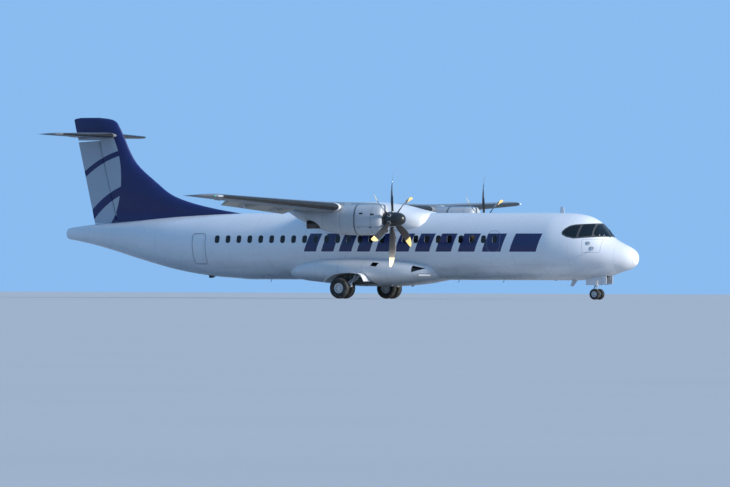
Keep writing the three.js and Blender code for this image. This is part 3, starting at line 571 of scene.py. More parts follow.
FINISHES: dict[Coat, Finish] = {
    # Painted shade: the white is toned down to grey, and the lower tone darkens the lower half further,
    # standing in for the shade under the fuselage.
    Coat.HULL: HullPaint(
        (0.68, 0.70, 0.74), 0.30, coat=0.3, mottle=0.05, mottle_scale=0.5, depth=0.0006, pitch=(2.45, 0, 0),
        seam_shade=0.22, dirt=(0.24, 0.25, 0.27), dirt_depth=0.55, dirt_high=1.9, dirt_low=0.8,
    ),
    Coat.WHITE: Panelled(
        (0.68, 0.70, 0.73), 0.32, coat=0.2, mottle=0.06, depth=0.0006, pitch=(1.15, 0, 0), seam_shade=0.3,
        dirt_depth=0.4, dirt_high=1.4, dirt_low=0.4,
    ),
    # Partly painted shade: the nacelles' white paint given as a darker, bluer grey, which darkens further
    # towards the bottom.
    Coat.COWL: CowlPaint(
        (0.44, 0.47, 0.51), 0.36, coat=0.2, mottle=0.10, depth=0.0006, pitch=(0, 0, 0), seam=0.016,
        seam_shade=0.6, dirt_depth=0.5, dirt_high=3.6, dirt_low=2.4,
    ),
    Coat.TRIM: Finish((0.060, 0.062, 0.066), 0.55, mottle=0.2, mottle_scale=3.0),
    Coat.TAIL: TailPaint((0.004, 0.010, 0.095), 0.42, coat=0.1, mottle=0.10, mottle_scale=0.8),
    # Painted shade: the grey paint made much darker than the flaps' copy of it, standing in for the shade
    # under the wing.
    Coat.WING: Panelled(
        (0.19, 0.21, 0.235), 0.42, mottle=0.10, pitch=(0.62, 0.93, 0), seam_shade=0.4, dirt_depth=0.35,
        dirt_high=6.0, dirt_low=3.0, dirt=(0.16, 0.16, 0.16),
    ),
    # Painted light: a lighter, warmer copy of the wing's grey paint, standing in for sunlight on the flaps'
    # undersides; ailerons and track fairings wear it too.
    Coat.FLAP: Panelled(
        (0.38, 0.365, 0.335), 0.45, mottle=0.12, pitch=(0, 0.62, 0), seam_shade=0.4, dirt_depth=0.4,
        dirt_high=6.0, dirt_low=3.0, dirt=(0.22, 0.21, 0.19),
    ),
    Coat.BOOT: Finish((0.012, 0.012, 0.013), 0.38, mottle=0.3, mottle_scale=3.0, grain=90.0),
    Coat.BLACK: Finish((0.018, 0.018, 0.020), 0.32, coat=0.2, mottle=0.25, mottle_scale=4.0),
    Coat.BLADE: BladePaint((0.030, 0.028, 0.028), 0.38, mottle=0.3, mottle_scale=5.0),
    Coat.GLASS: Finish((0.004, 0.006, 0.009), 0.06, mottle=0.4, mottle_scale=0.9, depth=0.00002),
    Coat.STEEL: Finish((0.50, 0.52, 0.54), 0.38, metallic=0.55, mottle=0.25, mottle_scale=7.0),
    Coat.CHROME: Finish((0.82, 0.83, 0.85), 0.12, metallic=1.0, mottle=0.08, mottle_scale=12.0, depth=0.0001),
    Coat.WHEEL: Finish((0.62, 0.64, 0.66), 0.35, metallic=0.15, mottle=0.2, mottle_scale=9.0),
    Coat.HOT: Finish((0.10, 0.09, 0.085), 0.45, metallic=0.8, mottle=0.5, mottle_scale=6.0),
    Coat.TYRE: TyreRubber((0.018, 0.018, 0.018), 0.78, grain=140.0, depth=0.0008),
    Coat.LINING: Finish((0.50, 0.47, 0.42), 0.6, mottle=0.10, mottle_scale=4.0),
    Coat.BAY: Finish((0.20, 0.215, 0.20), 0.6, mottle=0.35, mottle_scale=5.0, depth=0.001),
    Coat.GREEN_LAMP: Finish((0.02, 0.55, 0.27), 0.08, coat=1.0, mottle=0.1, depth=0.00002, glow=0.25),
    Coat.RED_LAMP: Finish((0.45, 0.02, 0.015), 0.08, coat=1.0, mottle=0.1, depth=0.00002, glow=0.1),
    Coat.CLEAR_LAMP: Finish((0.85, 0.86, 0.88), 0.06, coat=1.0, mottle=0.1, depth=0.00002, glow=0.3),
}
PALETTE = {coat: finish.build(coat.value[0]) for coat, finish in FINISHES.items()}


class Curve:
    """A smooth curve through a table's rows that never overshoots, against its first column."""

    def __init__(self, rows: Sequence[Row], key: Callable[[float], float] = float) -> None:
        """Works out the slopes at the rows.

        Args:
            rows: the table, in rising order of its first column.
            key: what the curve runs against, from the first column.
        """
        self.key = key
        self.places = np.array([key(row[0]) for row in rows])
        self.values = np.array([row[1:] for row in rows], float)
        gaps = np.diff(self.places)[:, None]
        rise = np.diff(self.values, axis=0) / gaps
        product = rise[:-1] * rise[1:]
        first, last = 2 * gaps[1:] + gaps[:-1], gaps[1:] + 2 * gaps[:-1]
        safe = np.where(product > 0, rise[:-1], 1.0), np.where(product > 0, rise[1:], 1.0)
        inner = np.where(product > 0, (first + last) / (first / safe[0] + last / safe[1]), 0.0)
        self.slopes = np.vstack([rise[:1], inner, rise[-1:]])

    def __call__(self, place: float) -> list[float]:
        """The row at a place.

        Args:
            place: a value of the first column.

        Returns:
            The other columns there.
        """
        spot = self.key(place)
        index = int(np.clip(np.searchsorted(self.places, spot) - 1, 0, len(self.places) - 2))
        gap = self.places[index + 1] - self.places[index]
        t = (spot - self.places[index]) / gap
        low, high = self.values[index], self.values[index + 1]
        bend_low, bend_high = self.slopes[index] * gap, self.slopes[index + 1] * gap
        s = t * t * (3 - 2 * t)
        curve = low + (high - low) * s + bend_low * t * (1 - t) ** 2 - bend_high * t * t * (1 - t)
        return curve.tolist()


def steps(low: float, high: float, count: int) -> list[float]:
    """Equal steps from one value to another, with both ends."""
    return [low + (high - low) * i / count for i in range(count + 1)]


def circle(centre: Vector, radius: float, axis: Vector, count: int) -> Ring:
    """A round ring about an axis.

    Args:
        centre: its middle.
        radius: its radius.
        axis: its axis.
        count: how many points or facets.

    Returns:
        The ring.
    """
    first = axis.orthogonal().normalized() * radius
    second = axis.normalized().cross(first)
    return [centre + first * math.cos(angle) + second * math.sin(angle) for angle in turns(count)]


def oval(station: float, y: float, half: float, top: float, middle: float, bottom: float,
         power: float, count: int) -> Ring:
    """A section across the fuselage line, an ellipse at power 2 and squarer above it.

    Args:
        station: the station.
        y: its place along the span.
        half: half its width.
        top: height of its top.
        middle: height of its widest place.
        bottom: height of its underside.
        power: 2 for an ellipse, more for a squarer shape.
        count: points round it.

    Returns:
        The ring.
    """
    ring = []
    for angle in turns(count):
        parts = (math.cos(angle), math.sin(angle))
        side, rise = (math.copysign(abs(part) ** (2 / power), part) for part in parts)
        height = top - middle if rise > 0 else middle - bottom
        ring.append(at(station, y + half * side, middle + rise * height))
    return ring


def rounded(centre: Row, half: Row, radius: float, corner: int = 6) -> list[Row]:
    """The outline of a rounded rectangle.

    Args:
        centre: its middle.
        half: half its sizes.
        radius: the radius of its corners.
        corner: steps round each corner.

    Returns:
        Its points, in order.
    """
    outline = []
    for turn, (a, b) in enumerate(((1, 1), (-1, 1), (-1, -1), (1, -1))):
        for i in range(corner + 1):
            angle = math.pi / 2 * (turn + i / corner)
            outline.append((
                centre[0] + a * (half[0] - radius) + radius * math.cos(angle),
                centre[1] + b * (half[1] - radius) + radius * math.sin(angle),
            ))
    return outline


class Model:
    """The faces of one piece, gathered shell by shell, each with its finish."""

    def __init__(self, name: str) -> None:
        """Starts an empty piece.

        Args:
            name: the piece's name.
        """
        self.name = name
        self.points: list[Vector] = []
        self.faces: list[tuple[int, ...]] = []
        self.coats: list[Coat] = []

    def shell(self, points: Sequence[Vector], faces: Iterable[Sequence[int]], coat: Coat) -> "Model":
        """Adds a closed shell, turned so that its faces point outwards.

        Args:
            points: its corners.
            faces: corner numbers round each face.
            coat: its finish.

        Returns:
            This model.
        """
        found = [tuple(face) for face in faces]
        middle = sum(points, Vector()) / len(points)
        arms = [point - middle for point in points]
        volume = sum(
            arms[face[0]].dot(arms[b].cross(arms[c])) for face in found for b, c in zip(face[1:], face[2:])
        )
        start = len(self.points)
        order = 1 if volume > 0 else -1
        self.points.extend(points)
        self.faces.extend(tuple(start + i for i in face[::order]) for face in found)
        self.coats.extend([coat] * len(found))
        return self

    def loft(self, rings: Sequence[Ring], coat: Coat, closed: bool = False) -> "Model":
        """Adds a skin through rings of equally many points.

        Args:
            rings: the rings; one at either end may be a single place.
            coat: its finish.
            closed: whether the last ring joins the first, with no ends.

        Returns:
            This model.
        """
        count = len(rings[0])
        points: list[Vector] = []
        starts: list[tuple[int, bool]] = []
        for ring in rings:
            pole = (ring[0] - ring[count // 2]).length < 1e-6 and (ring[0] - ring[count // 4]).length < 1e-6
            starts.append((len(points), pole))
            points.extend(ring[:1] if pole else ring)
        faces = []
        pairs = zip(starts, starts[1:] + starts[:1]) if closed else zip(starts, starts[1:])
        for (a, flat_a), (b, flat_b) in pairs:
            for i in range(count):
                j = (i + 1) % count
                ends = ((a, flat_a), (b, flat_b))
                low, high = ([start + k * (not pole) for k in (i, j)] for start, pole in ends)
                faces.append(tuple(dict.fromkeys((*low, *reversed(high)))))
        if not closed:
            for (start, pole), order in ((starts[0], -1), (starts[-1], 1)):
                if not pole:
                    faces.append(tuple(range(start, start + count))[::order])
        return self.shell(points, faces, coat)

    def turned(self, profile: Sequence[Row], centre: Vector, axis: Vector, coat: Coat,
               count: int = 48, closed: bool = False) -> "Model":
        """Adds a turned shape.

        Args:
            profile: radius and distance along the axis, for each ring.
            centre: where the distances start.
            axis: the axis.
            coat: its finish.
            count: facets round the axis.
            closed: whether the profile closes on itself, as a tyre's does.

        Returns:
            This model.
        """
        along = axis.normalized()
        rings = [circle(centre + along * offset, radius, along, count) for radius, offset in profile]
        return self.loft(rings, coat, closed)

    def rod(self, start: Vector, end: Vector, radius: float, coat: Coat, tip: float | None = None,
            count: int = 20) -> "Model":
        """Adds a round bar with small chamfers, which may taper to another radius.

        Args:
            start: the middle of one end.
            end: the middle of the other.
            radius: its radius.
            coat: its finish.
            tip: the radius at the other end, if it tapers.
            count: facets round it.

        Returns:
            This model.
        """
        last = radius if tip is None else tip
        length = (end - start).length
        edge = min(radius, last, length) * 0.12
        profile = [(0, 0), (radius - edge, 0), (radius, edge), (last, length - edge), (last - edge, length),
                   (0, length)]
        return self.turned(profile, start, end - start, coat, count)

    def tube(self, path: Sequence[Vector], radius: float, coat: Coat, count: int = 8) -> "Model":
        """Adds a bent bar or hose along a path.

        Args:
            path: the points along its middle.
            radius: its radius.
            coat: its finish.
            count: facets round it.

        Returns:
            This model.
        """
        rings = []
        side = (path[1] - path[0]).orthogonal().normalized()
        for i, point in enumerate(path):
            along = (path[min(i + 1, len(path) - 1)] - path[max(i - 1, 0)]).normalized()
            side = (side - along * side.dot(along)).normalized()
            other = along.cross(side)
            rings.append([
                point + (side * math.cos(angle) + other * math.sin(angle)) * radius for angle in turns(count)
            ])
        return self.loft(rings, coat)

    def prism(self, outline: Sequence[Row], low: float, high: float, coat: Coat,
              up: bool = False) -> "Model":
        """Adds a solid whose outline lies in X and Z, or in X and Y if it points up.

        Args:
            outline: its corners.
            low: where it starts across the outline.
            high: where it ends.
            coat: its finish.
            up: whether it stands along Z.

        Returns:
            This model.
        """
        rings = [[Vector((a, b, level)) if up else Vector((a, level, b)) for a, b in outline]
                 for level in (low, high)]
        return self.loft(rings, coat)

    def block(self, low: Row, high: Row, coat: Coat, bevel: float = 0.0) -> "Model":
        """Adds a box between two corners, with rounded edges.

        Args:
            low: the corner with the least values.
            high: the opposite corner.
            coat: its finish.
            bevel: how far its edges are cut back.

        Returns:
            This model.
        """
        shape = bmesh.new()
        bmesh.ops.create_cube(shape, size=1.0)
        start, end = Vector(low), Vector(high)
        for vertex in shape.verts:
            vertex.co = Vector(a + (b - a) * (c + 0.5) for a, b, c in zip(start, end, vertex.co))
        if bevel:
            bmesh.ops.bevel(shape, geom=shape.edges[:], offset=bevel, segments=2, profile=0.6, affect="EDGES")
        shape.verts.index_update()
        points = [vertex.co.copy() for vertex in shape.verts]
        faces = [[vertex.index for vertex in face.verts] for face in shape.faces]
        shape.free()
        return self.shell(points, faces, coat)

    def absorb(self, piece: Piece, coat: Coat) -> "Model":
        """Takes over another piece's faces and removes it.

        Args:
            piece: the piece that it takes over.
            coat: its finish.

        Returns:
            This model.
        """
        start = len(self.points)
        self.points.extend(vertex.co.copy() for vertex in piece.data.vertices)
        self.faces.extend(tuple(start + i for i in face.vertices) for face in piece.data.polygons)
        self.coats.extend([coat] * len(piece.data.polygons))
        bpy.data.objects.remove(piece)
        return self

    def build(self) -> Piece:
        """The piece as an object, smooth but for its creases.

        Returns:
            The object.
        """
        mesh = bpy.data.meshes.new(self.name)
        mesh.from_pydata(self.points, [], self.faces)
        order = list(dict.fromkeys(self.coats))
        for coat in order:
            mesh.materials.append(PALETTE[coat])
        mesh.polygons.foreach_set("material_index", [order.index(coat) for coat in self.coats])
        return smooth(linked(self.name, mesh))


def smooth(piece: Piece) -> Piece:
    """Shades a piece smooth, with sharp edges where its faces meet at a wide angle.

    Args:
        piece: the piece.

    Returns:
        The piece.
    """
    piece.data.shade_smooth()
    piece.data.set_sharp_from_angle(angle=CREASE)
    return piece


def settled(piece: Piece) -> Piece:
    """Turns a piece's modifiers into plain mesh.

    Args:
        piece: the piece.

    Returns:
        The piece.
    """
    graph = bpy.context.evaluated_depsgraph_get()
    mesh = bpy.data.meshes.new_from_object(piece.evaluated_get(graph), depsgraph=graph)
    piece.modifiers.clear()
    piece.data = mesh
    return piece


def carve(piece: Piece, cutter: Piece, operation: str = "DIFFERENCE",
          keep: bool = False) -> Piece:
    """Cuts a piece by another, or keeps what they share.

    Args:
        piece: the piece that is cut.
        cutter: what cuts it.
        operation: DIFFERENCE, INTERSECT or UNION.
        keep: whether the cutter is used again.

    Returns:
        The piece.
    """
    modifier = piece.modifiers.new("carve", "BOOLEAN")
    modifier.operation = operation
    modifier.solver = "EXACT"
    modifier.material_mode = "TRANSFER"
    modifier.object = cutter
    settled(piece)
    if not keep:
        bpy.data.objects.remove(cutter)
    return smooth(piece)


def jack_pad(foot: Vector, height: float) -> Piece:
    """A round jacking pad that stands on its flat foot."""
    return Model("pad").rod(foot, foot + UP * height, 0.06, Coat.STEEL, count=32).build()


def fit(piece: Piece, coat: Coat, *nodes: str, body: str = "airframe") -> Piece:
    """Puts a piece on its body and hides the frame's nodes that it stands for.

    Args:
        piece: the piece.
        coat: its finish, not used.
        nodes: the frame's nodes that it shows.
        body: the body that it rides on.

    Returns:
        The piece.
    """
    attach(piece, body)
    coat.slot
    if nodes:
        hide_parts(*nodes)
    LOG.info("%s rides on %s, %d faces", piece.name, body, len(piece.data.polygons))
    return piece


class Repeater:
    """Geometry Nodes trees that copy a small piece along a row, round a ring or over a skin."""

    def __init__(self) -> None:
        """Builds the three trees."""
        common = {"Piece": "NodeSocketObject", "Finish": "NodeSocketMaterial"}
        self.rows = self._tree("copies_in_a_row", common | {
            "Count": "NodeSocketInt", "Start": "NodeSocketVector", "Step": "NodeSocketVector"}, self._row)
        self.rings = self._tree("copies_round_a_ring", common | {
            "Count": "NodeSocketInt", "Centre": "NodeSocketVector", "Axis": "NodeSocketVector"}, self._ring)
        self.studs = self._tree("copies_over_a_skin", common | {
            "Path": "NodeSocketObject", "Skin": "NodeSocketObject", "Spacing": "NodeSocketFloat"}, self._stud)

    @staticmethod
    def _tree(name: str, sockets: dict[str, str], fill: Callable) -> Tree:
        """A tree with named inputs, filled by a method that returns its copies before they are real.

        Args:
            name: the tree's name.
            sockets: input names to their types.
            fill: makes the copies in the tree.

        Returns:
            The tree.
        """
        tree = bpy.data.node_groups.new(name, "GeometryNodeTree")
        tree.interface.new_socket("Geometry", in_out="INPUT", socket_type="NodeSocketGeometry")
        for label, kind in sockets.items():
            tree.interface.new_socket(label, in_out="INPUT", socket_type=kind)
        tree.interface.new_socket("Geometry", in_out="OUTPUT", socket_type="NodeSocketGeometry")
        given = tree.nodes.new("NodeGroupInput").outputs
        copies = fill(tree, given)
        real = add_node(tree, "GeometryNodeRealizeInstances", {0: copies})
        dressed = add_node(
            tree, "GeometryNodeSetMaterial", {"Geometry": real.outputs[0], "Material": given["Finish"]},
        )
        add_node(tree, "NodeGroupOutput", {0: dressed.outputs[0]})
        return tree

    @staticmethod
    def _mesh(tree: Tree, source: Socket) -> Socket:
        """The geometry of an object that the tree is given."""
        return add_node(tree, "GeometryNodeObjectInfo", {"Object": source}).outputs["Geometry"]

    @staticmethod
    def _line(tree: Tree, count: Socket, start: Socket, step: object) -> Socket:
        """Points at equal steps from a start."""
        inputs = {"Count": count, "Start Location": start, "Offset": step}
        return add_node(tree, "GeometryNodeMeshLine", inputs, mode="OFFSET").outputs[0]

    def _placed(self, tree: Tree, given: object, points: Socket, **turn: Socket) -> Socket:
        """The given piece at each point, which may be turned."""
        inputs = {"Points": points, "Instance": self._mesh(tree, given["Piece"]), **turn}
        return add_node(tree, "GeometryNodeInstanceOnPoints", inputs).outputs[0]

    def _row(self, tree: Tree, given: object) -> Socket:
        """Copies at equal steps from a start."""
        return self._placed(tree, given, self._line(tree, given["Count"], given["Start"], given["Step"]))

    def _ring(self, tree: Tree, given: object) -> Socket:
        """Copies at a centre, each turned about an axis by its share of a full turn.

        Args:
            tree: the tree.
            given: the tree's inputs by name.

        Returns:
            The copies.
        """
        line = self._line(tree, given["Count"], given["Centre"], (0, 0, 0))
        index = add_node(tree, "GeometryNodeInputIndex", {})
        step = add_node(tree, "ShaderNodeMath", {0: 2 * math.pi, 1: given["Count"]}, operation="DIVIDE")
        angle = add_node(
            tree, "ShaderNodeMath", {0: index.outputs[0], 1: step.outputs[0]}, operation="MULTIPLY",
        )
        turn = add_node(tree, "FunctionNodeAxisAngleToRotation", {
            "Axis": given["Axis"], "Angle": angle.outputs[0]})
        return self._placed(tree, given, line, Rotation=turn.outputs[0])

    def _stud(self, tree: Tree, given: object) -> Socket:
        """Copies along a path, each standing out from the nearest skin.

        Args:
            tree: the tree.
            given: the tree's inputs by name.

        Returns:
            The copies.
        """
        curve = add_node(tree, "GeometryNodeMeshToCurve", {"Mesh": self._mesh(tree, given["Path"])})
        points = add_node(tree, "GeometryNodeCurveToPoints", {
            "Curve": curve.outputs[0], "Length": given["Spacing"]}, mode="LENGTH")
        normal = add_node(tree, "GeometryNodeInputNormal", {})
        sample = add_node(tree, "GeometryNodeSampleNearestSurface", {
            "Mesh": self._mesh(tree, given["Skin"]), "Value": normal.outputs[0]}, data_type="FLOAT_VECTOR")
        turn = add_node(tree, "FunctionNodeAlignRotationToVector", {"Vector": sample.outputs[0]}, axis="Z")
        return self._placed(tree, given, points.outputs[0], Rotation=turn.outputs[0])

    def row(self, name: str, coat: Coat, part: Model, count: int, start: Vector, step: Vector) -> Piece:
        """Copies of a small part at equal steps from a start."""
        return self.copies(name, self.rows, coat, Piece=part.build(), Count=count, Start=start, Step=step)

    def ring(self, name: str, coat: Coat, part: Model, count: int, centre: Vector, axis: Vector) -> Piece:
        """Copies of a small part round an axis."""
        return self.copies(name, self.rings, coat, Piece=part.build(), Count=count, Centre=centre, Axis=axis)

    @staticmethod
    def copies(name: str, tree: Tree, coat: Coat, **values: object) -> Piece:
        """A plain mesh of the copies that a tree makes.

        Args:
            name: the new object's name.
            tree: one of the trees.
            coat: the copies' finish.
            values: the tree's inputs by name; the pieces among them are removed afterwards.

        Returns:
            The object.
        """
        host = linked(name, bpy.data.meshes.new(name))
        modifier = host.modifiers.new("copies", "NODES")
        modifier.node_group = tree
        values["Finish"] = PALETTE[coat]
        for item in tree.interface.items_tree:
            if item.in_out == "INPUT" and item.name in values:
                value = values[item.name]
                modifier[item.identifier] = list(value) if isinstance(value, (Vector, tuple)) else value
        settled(host)
        for label in ("Piece", "Path"):
            if label in values:
                bpy.data.objects.remove(values[label])
        return smooth(host)


REPEATER = Repeater()


@dataclass(frozen=True)
class Door:
    """A door's place on the side: stations, heights, which side, and how deep its doorway is."""

    first: float
    last: float
    low: float
    high: float
    side: Side
    doorway: float
    corner: float = 0.11
    depth: float = 0.06
    reach: Row = (0.3, 1.8)

    def prism(self, name: str, grow: float, coat: Coat) -> Piece:
        """The door's outline, pushed out, from the middle plane out past the skin.

        Args:
            name: the piece's name.
            grow: how far it is pushed out.
            coat: the finish of its sides.

        Returns:
            The piece.
        """
        middle = (x_at((self.first + self.last) / 2), AXIS_Z + (self.low + self.high) / 2)
        half = ((self.last - self.first) / 2 + grow, (self.high - self.low) / 2 + grow)
        outline = rounded(middle, half, self.corner + grow)
        return Model(name).prism(outline, *on_side(self.side, *self.reach), coat).build()


PASSENGER = Door(19.30, 20.09, -0.88, 0.85, Side.LEFT, 0.26)
CARGO = Door(2.98, 4.255, -0.93, 0.60, Side.LEFT, 0.26)
SERVICE = Door(19.60, 20.21, -0.73, 0.50, Side.RIGHT, 0.07)


@dataclass
class Fuselage:
    """The pressure hull from the radome to the tail cone, with its recesses and cabin windows."""

    rows: tuple[Row, ...] = (
        (0.0, -0.445, -0.445, -0.445, 0.0), (0.06, -0.250, -0.480, -0.735, 0.240),
        (0.19, -0.120, -0.480, -0.850, 0.410), (0.40, 0.005, -0.470, -0.950, 0.575),
        (0.73, 0.153, -0.450, -1.040, 0.750), (1.20, 0.416, -0.390, -1.205, 0.950),
        (1.43, 0.690, -0.340, -1.250, 1.030), (1.66, 0.940, -0.280, -1.300, 1.105),
        (2.26, 1.262, -0.150, -1.375, 1.270), (2.90, 1.365, -0.060, -1.390, 1.375),
        (3.60, 1.390, 0.0, -1.390, 1.432), (18.00, 1.390, 0.0, -1.390, 1.432),
        (18.70, 1.378, 0.010, -1.345, 1.425), (19.70, 1.345, 0.055, -1.275, 1.395),
        (20.60, 1.305, 0.120, -1.170, 1.330), (21.70, 1.245, 0.230, -0.985, 1.210),
        (22.65, 1.170, 0.340, -0.762, 1.060), (23.70, 1.080, 0.430, -0.490, 0.840),
        (24.74, 1.000, 0.490, -0.198, 0.610), (25.80, 0.920, 0.545, 0.065, 0.390),
        (26.70, 0.820, 0.555, 0.245, 0.210), (27.06, 0.755, 0.545, 0.310, 0.130),
        (27.13, 0.690, 0.542, 0.375, 0.095), (27.16, 0.610, 0.540, 0.470, 0.045),
        (LENGTH, 0.540, 0.540, 0.540, 0.0),
    )
    segments: int = 128
    radome_end: float = 0.73
    nose_end: float = 4.6
    barrel_end: float = 18.3
    boom_start: float = 20.6
    cone_start: float = 25.95
    seam: float = 0.0006
    radome_seam: float = 0.004
    nose_bay: tuple[Row, Row] = ((1.25, -0.26), (2.25, 0.26))
    bay_top: float = 1.5
    bay_low: float = 0.2
    barrel: Row = (3.6, 18.0)
    tail_stations: Row = (27.09, 27.11, 27.13, 27.145, 27.155, 27.162)
    pad: Row = (3.75, -1.404, 0.08)
    window_last: float = 19.0
    window_pitch: float = 0.525
    window_count: int = 26
    window_height: float = 0.29
    window_half: Row = (0.115, 0.165)
    window_corner: float = 0.095
    window_lean: float = math.radians(10.0)
    window_depth: float = 0.024
    window_out: float = 0.12
    pane_rim: float = 0.004
    skin: Curve = None

    def __post_init__(self) -> None:
        """Fits the smooth outline."""
        self.skin = Curve(self.rows, math.sqrt)

    def half_width(self, station: float, height: float) -> float:
        """How far the skin is from the middle plane at a station and a height.

        Args:
            station: the station.
            height: the height.

        Returns:
            The distance.
        """
        top, middle, bottom, half = self.skin(station)
        share = (height - middle) / (top - middle if height > middle else middle - bottom)
        return half * math.sqrt(max(0.0, 1 - share * share))

    def ring(self, station: float, grow: float = 0.0) -> Ring:
        """The section at a station, moved out."""
        top, middle, bottom, half = self.skin(station)
        return oval(station, 0.0, half + grow, top + grow, middle, bottom - grow, 2.0, self.segments)

    def stations(self, first: float, last: float) -> list[float]:
        """Where the rings stand between two stations.

        Args:
            first: the first station.
            last: the last one.

        Returns:
            The stations, in order.
        """
        nose = [(0.045 * i) ** 2 for i in range(43)]
        front, back = self.barrel
        rest = steps(front, back, 24) + steps(back, LENGTH, 54)
        places = (*nose, *rest, *self.tail_stations)
        inside = {round(place, 4) for place in places if first + 0.02 < place < last - 0.002}
        return [first, *sorted(inside), last]

    def part(self, name: str, first: float, last: float, coat: Coat, grow: float = 0.0) -> Piece:
        """The hull between two stations as a solid, moved out."""
        rings = [self.ring(station, grow) for station in self.stations(first, last)]
        return Model(name).loft(rings, coat).build()

    def inside(self, first: float, last: float, coat: Coat, depth: float) -> Piece:
        """The hull's inside between two stations, from a depth under the skin."""
        return self.part("inner_cutter", first, last, coat, -depth)

    def doorway(self, door: Door) -> Piece:
        """What a doorway takes out of the hull.

        Args:
            door: the door's place.

        Returns:
            The cutter.
        """
        space = door.prism("doorway_cutter", CLEAR, Coat.LINING)
        return carve(space, self.inside(door.first - 0.3, door.last + 0.3, Coat.LINING, door.doorway))

    def panel(self, name: str, door: Door) -> Piece:
        """A door's curved panel, with its painted skin and its lined inside.

        Args:
            name: the piece's name.
            door: the door's place.

        Returns:
            The piece.
        """
        panel = self.part(name, door.first - 0.2, door.last + 0.2, Coat.HULL)
        carve(panel, door.prism("door_cutter", 0.0, Coat.WHITE), "INTERSECT")
        return carve(panel, self.inside(door.first - 0.3, door.last + 0.3, Coat.LINING, door.depth))

    def window_row(self, name: str, side: int, inner: float, outer: float,
                   half: Row, coat: Coat) -> Piece:
        """A row of rounded prisms through the skin, one at each cabin window.

        Args:
            name: the piece's name.
            side: left or right.
            inner: how far out of the skin each starts.
            outer: where each ends.
            half: half of each one's sizes.
            coat: their finish.

        Returns:
            The row.
        """
        outline = rounded((0, 0), half, self.window_corner)
        shape = Model("window").prism(outline, inner, outer, coat).build()
        width = self.half_width(12.0, self.window_height)
        turn = Matrix.Rotation(self.window_lean, 4, "X")
        if side == Side.RIGHT:
            turn = Matrix.Rotation(math.pi, 4, "Z") @ turn
        shape.data.transform(turn)
        start = at(self.window_last, side * width, self.window_height)
        return REPEATER.copies(name, REPEATER.rows, coat, Piece=shape, Count=self.window_count,
                               Start=start, Step=AHEAD * self.window_pitch)

    def build(self) -> None:
        """Builds and dresses the hull."""
        gap = self.seam / 2
        spans = {
            "radome": (0.0, self.radome_end - self.radome_seam),
            "nose_section": (self.radome_end, self.nose_end - gap),
            "cabin_barrel": (self.nose_end + gap, self.barrel_end - gap),
            "tail_section": (self.barrel_end + gap, self.boom_start - gap),
            "tail_boom": (self.boom_start + gap, self.cone_start - gap),
            "tail_cone": (self.cone_start + gap, LENGTH),
        }
        parts = {name: self.part(f"{name}_skin", *span, Coat.HULL) for name, span in spans.items()}
        (front, right), (back, left) = self.nose_bay
        bay = Model("bay_cutter").block(
            (x_at(back), right, self.bay_low), (x_at(front), left, self.bay_top), Coat.BAY,
        ).build()
        carve(parts["nose_section"], bay)
        carve(parts["nose_section"], self.doorway(CARGO))
        station, height, length = self.pad
        carve(parts["nose_section"], jack_pad(at(station, 0, height), length), "UNION")
        for side in Side:
            cutter = self.window_row(
                "window_cutter", side, -self.window_depth, self.window_out, self.window_half, Coat.WHITE,
            )
            carve(parts["cabin_barrel"], cutter, keep=True)
            carve(parts["tail_section"], cutter)
        for door in (PASSENGER, SERVICE):
            carve(parts["tail_section"], self.doorway(door))
        for name, piece in parts.items():
            fit(piece, Coat.HULL, name)
        inset = tuple(part - self.pane_rim for part in self.window_half)
        for side in Side:
            panes = self.window_row(
                f"cabin_windows_{side.label}", side, -self.window_depth - 0.01, -self.window_depth + 0.012,
                inset, Coat.GLASS,
            )
            fit(panes, Coat.GLASS)


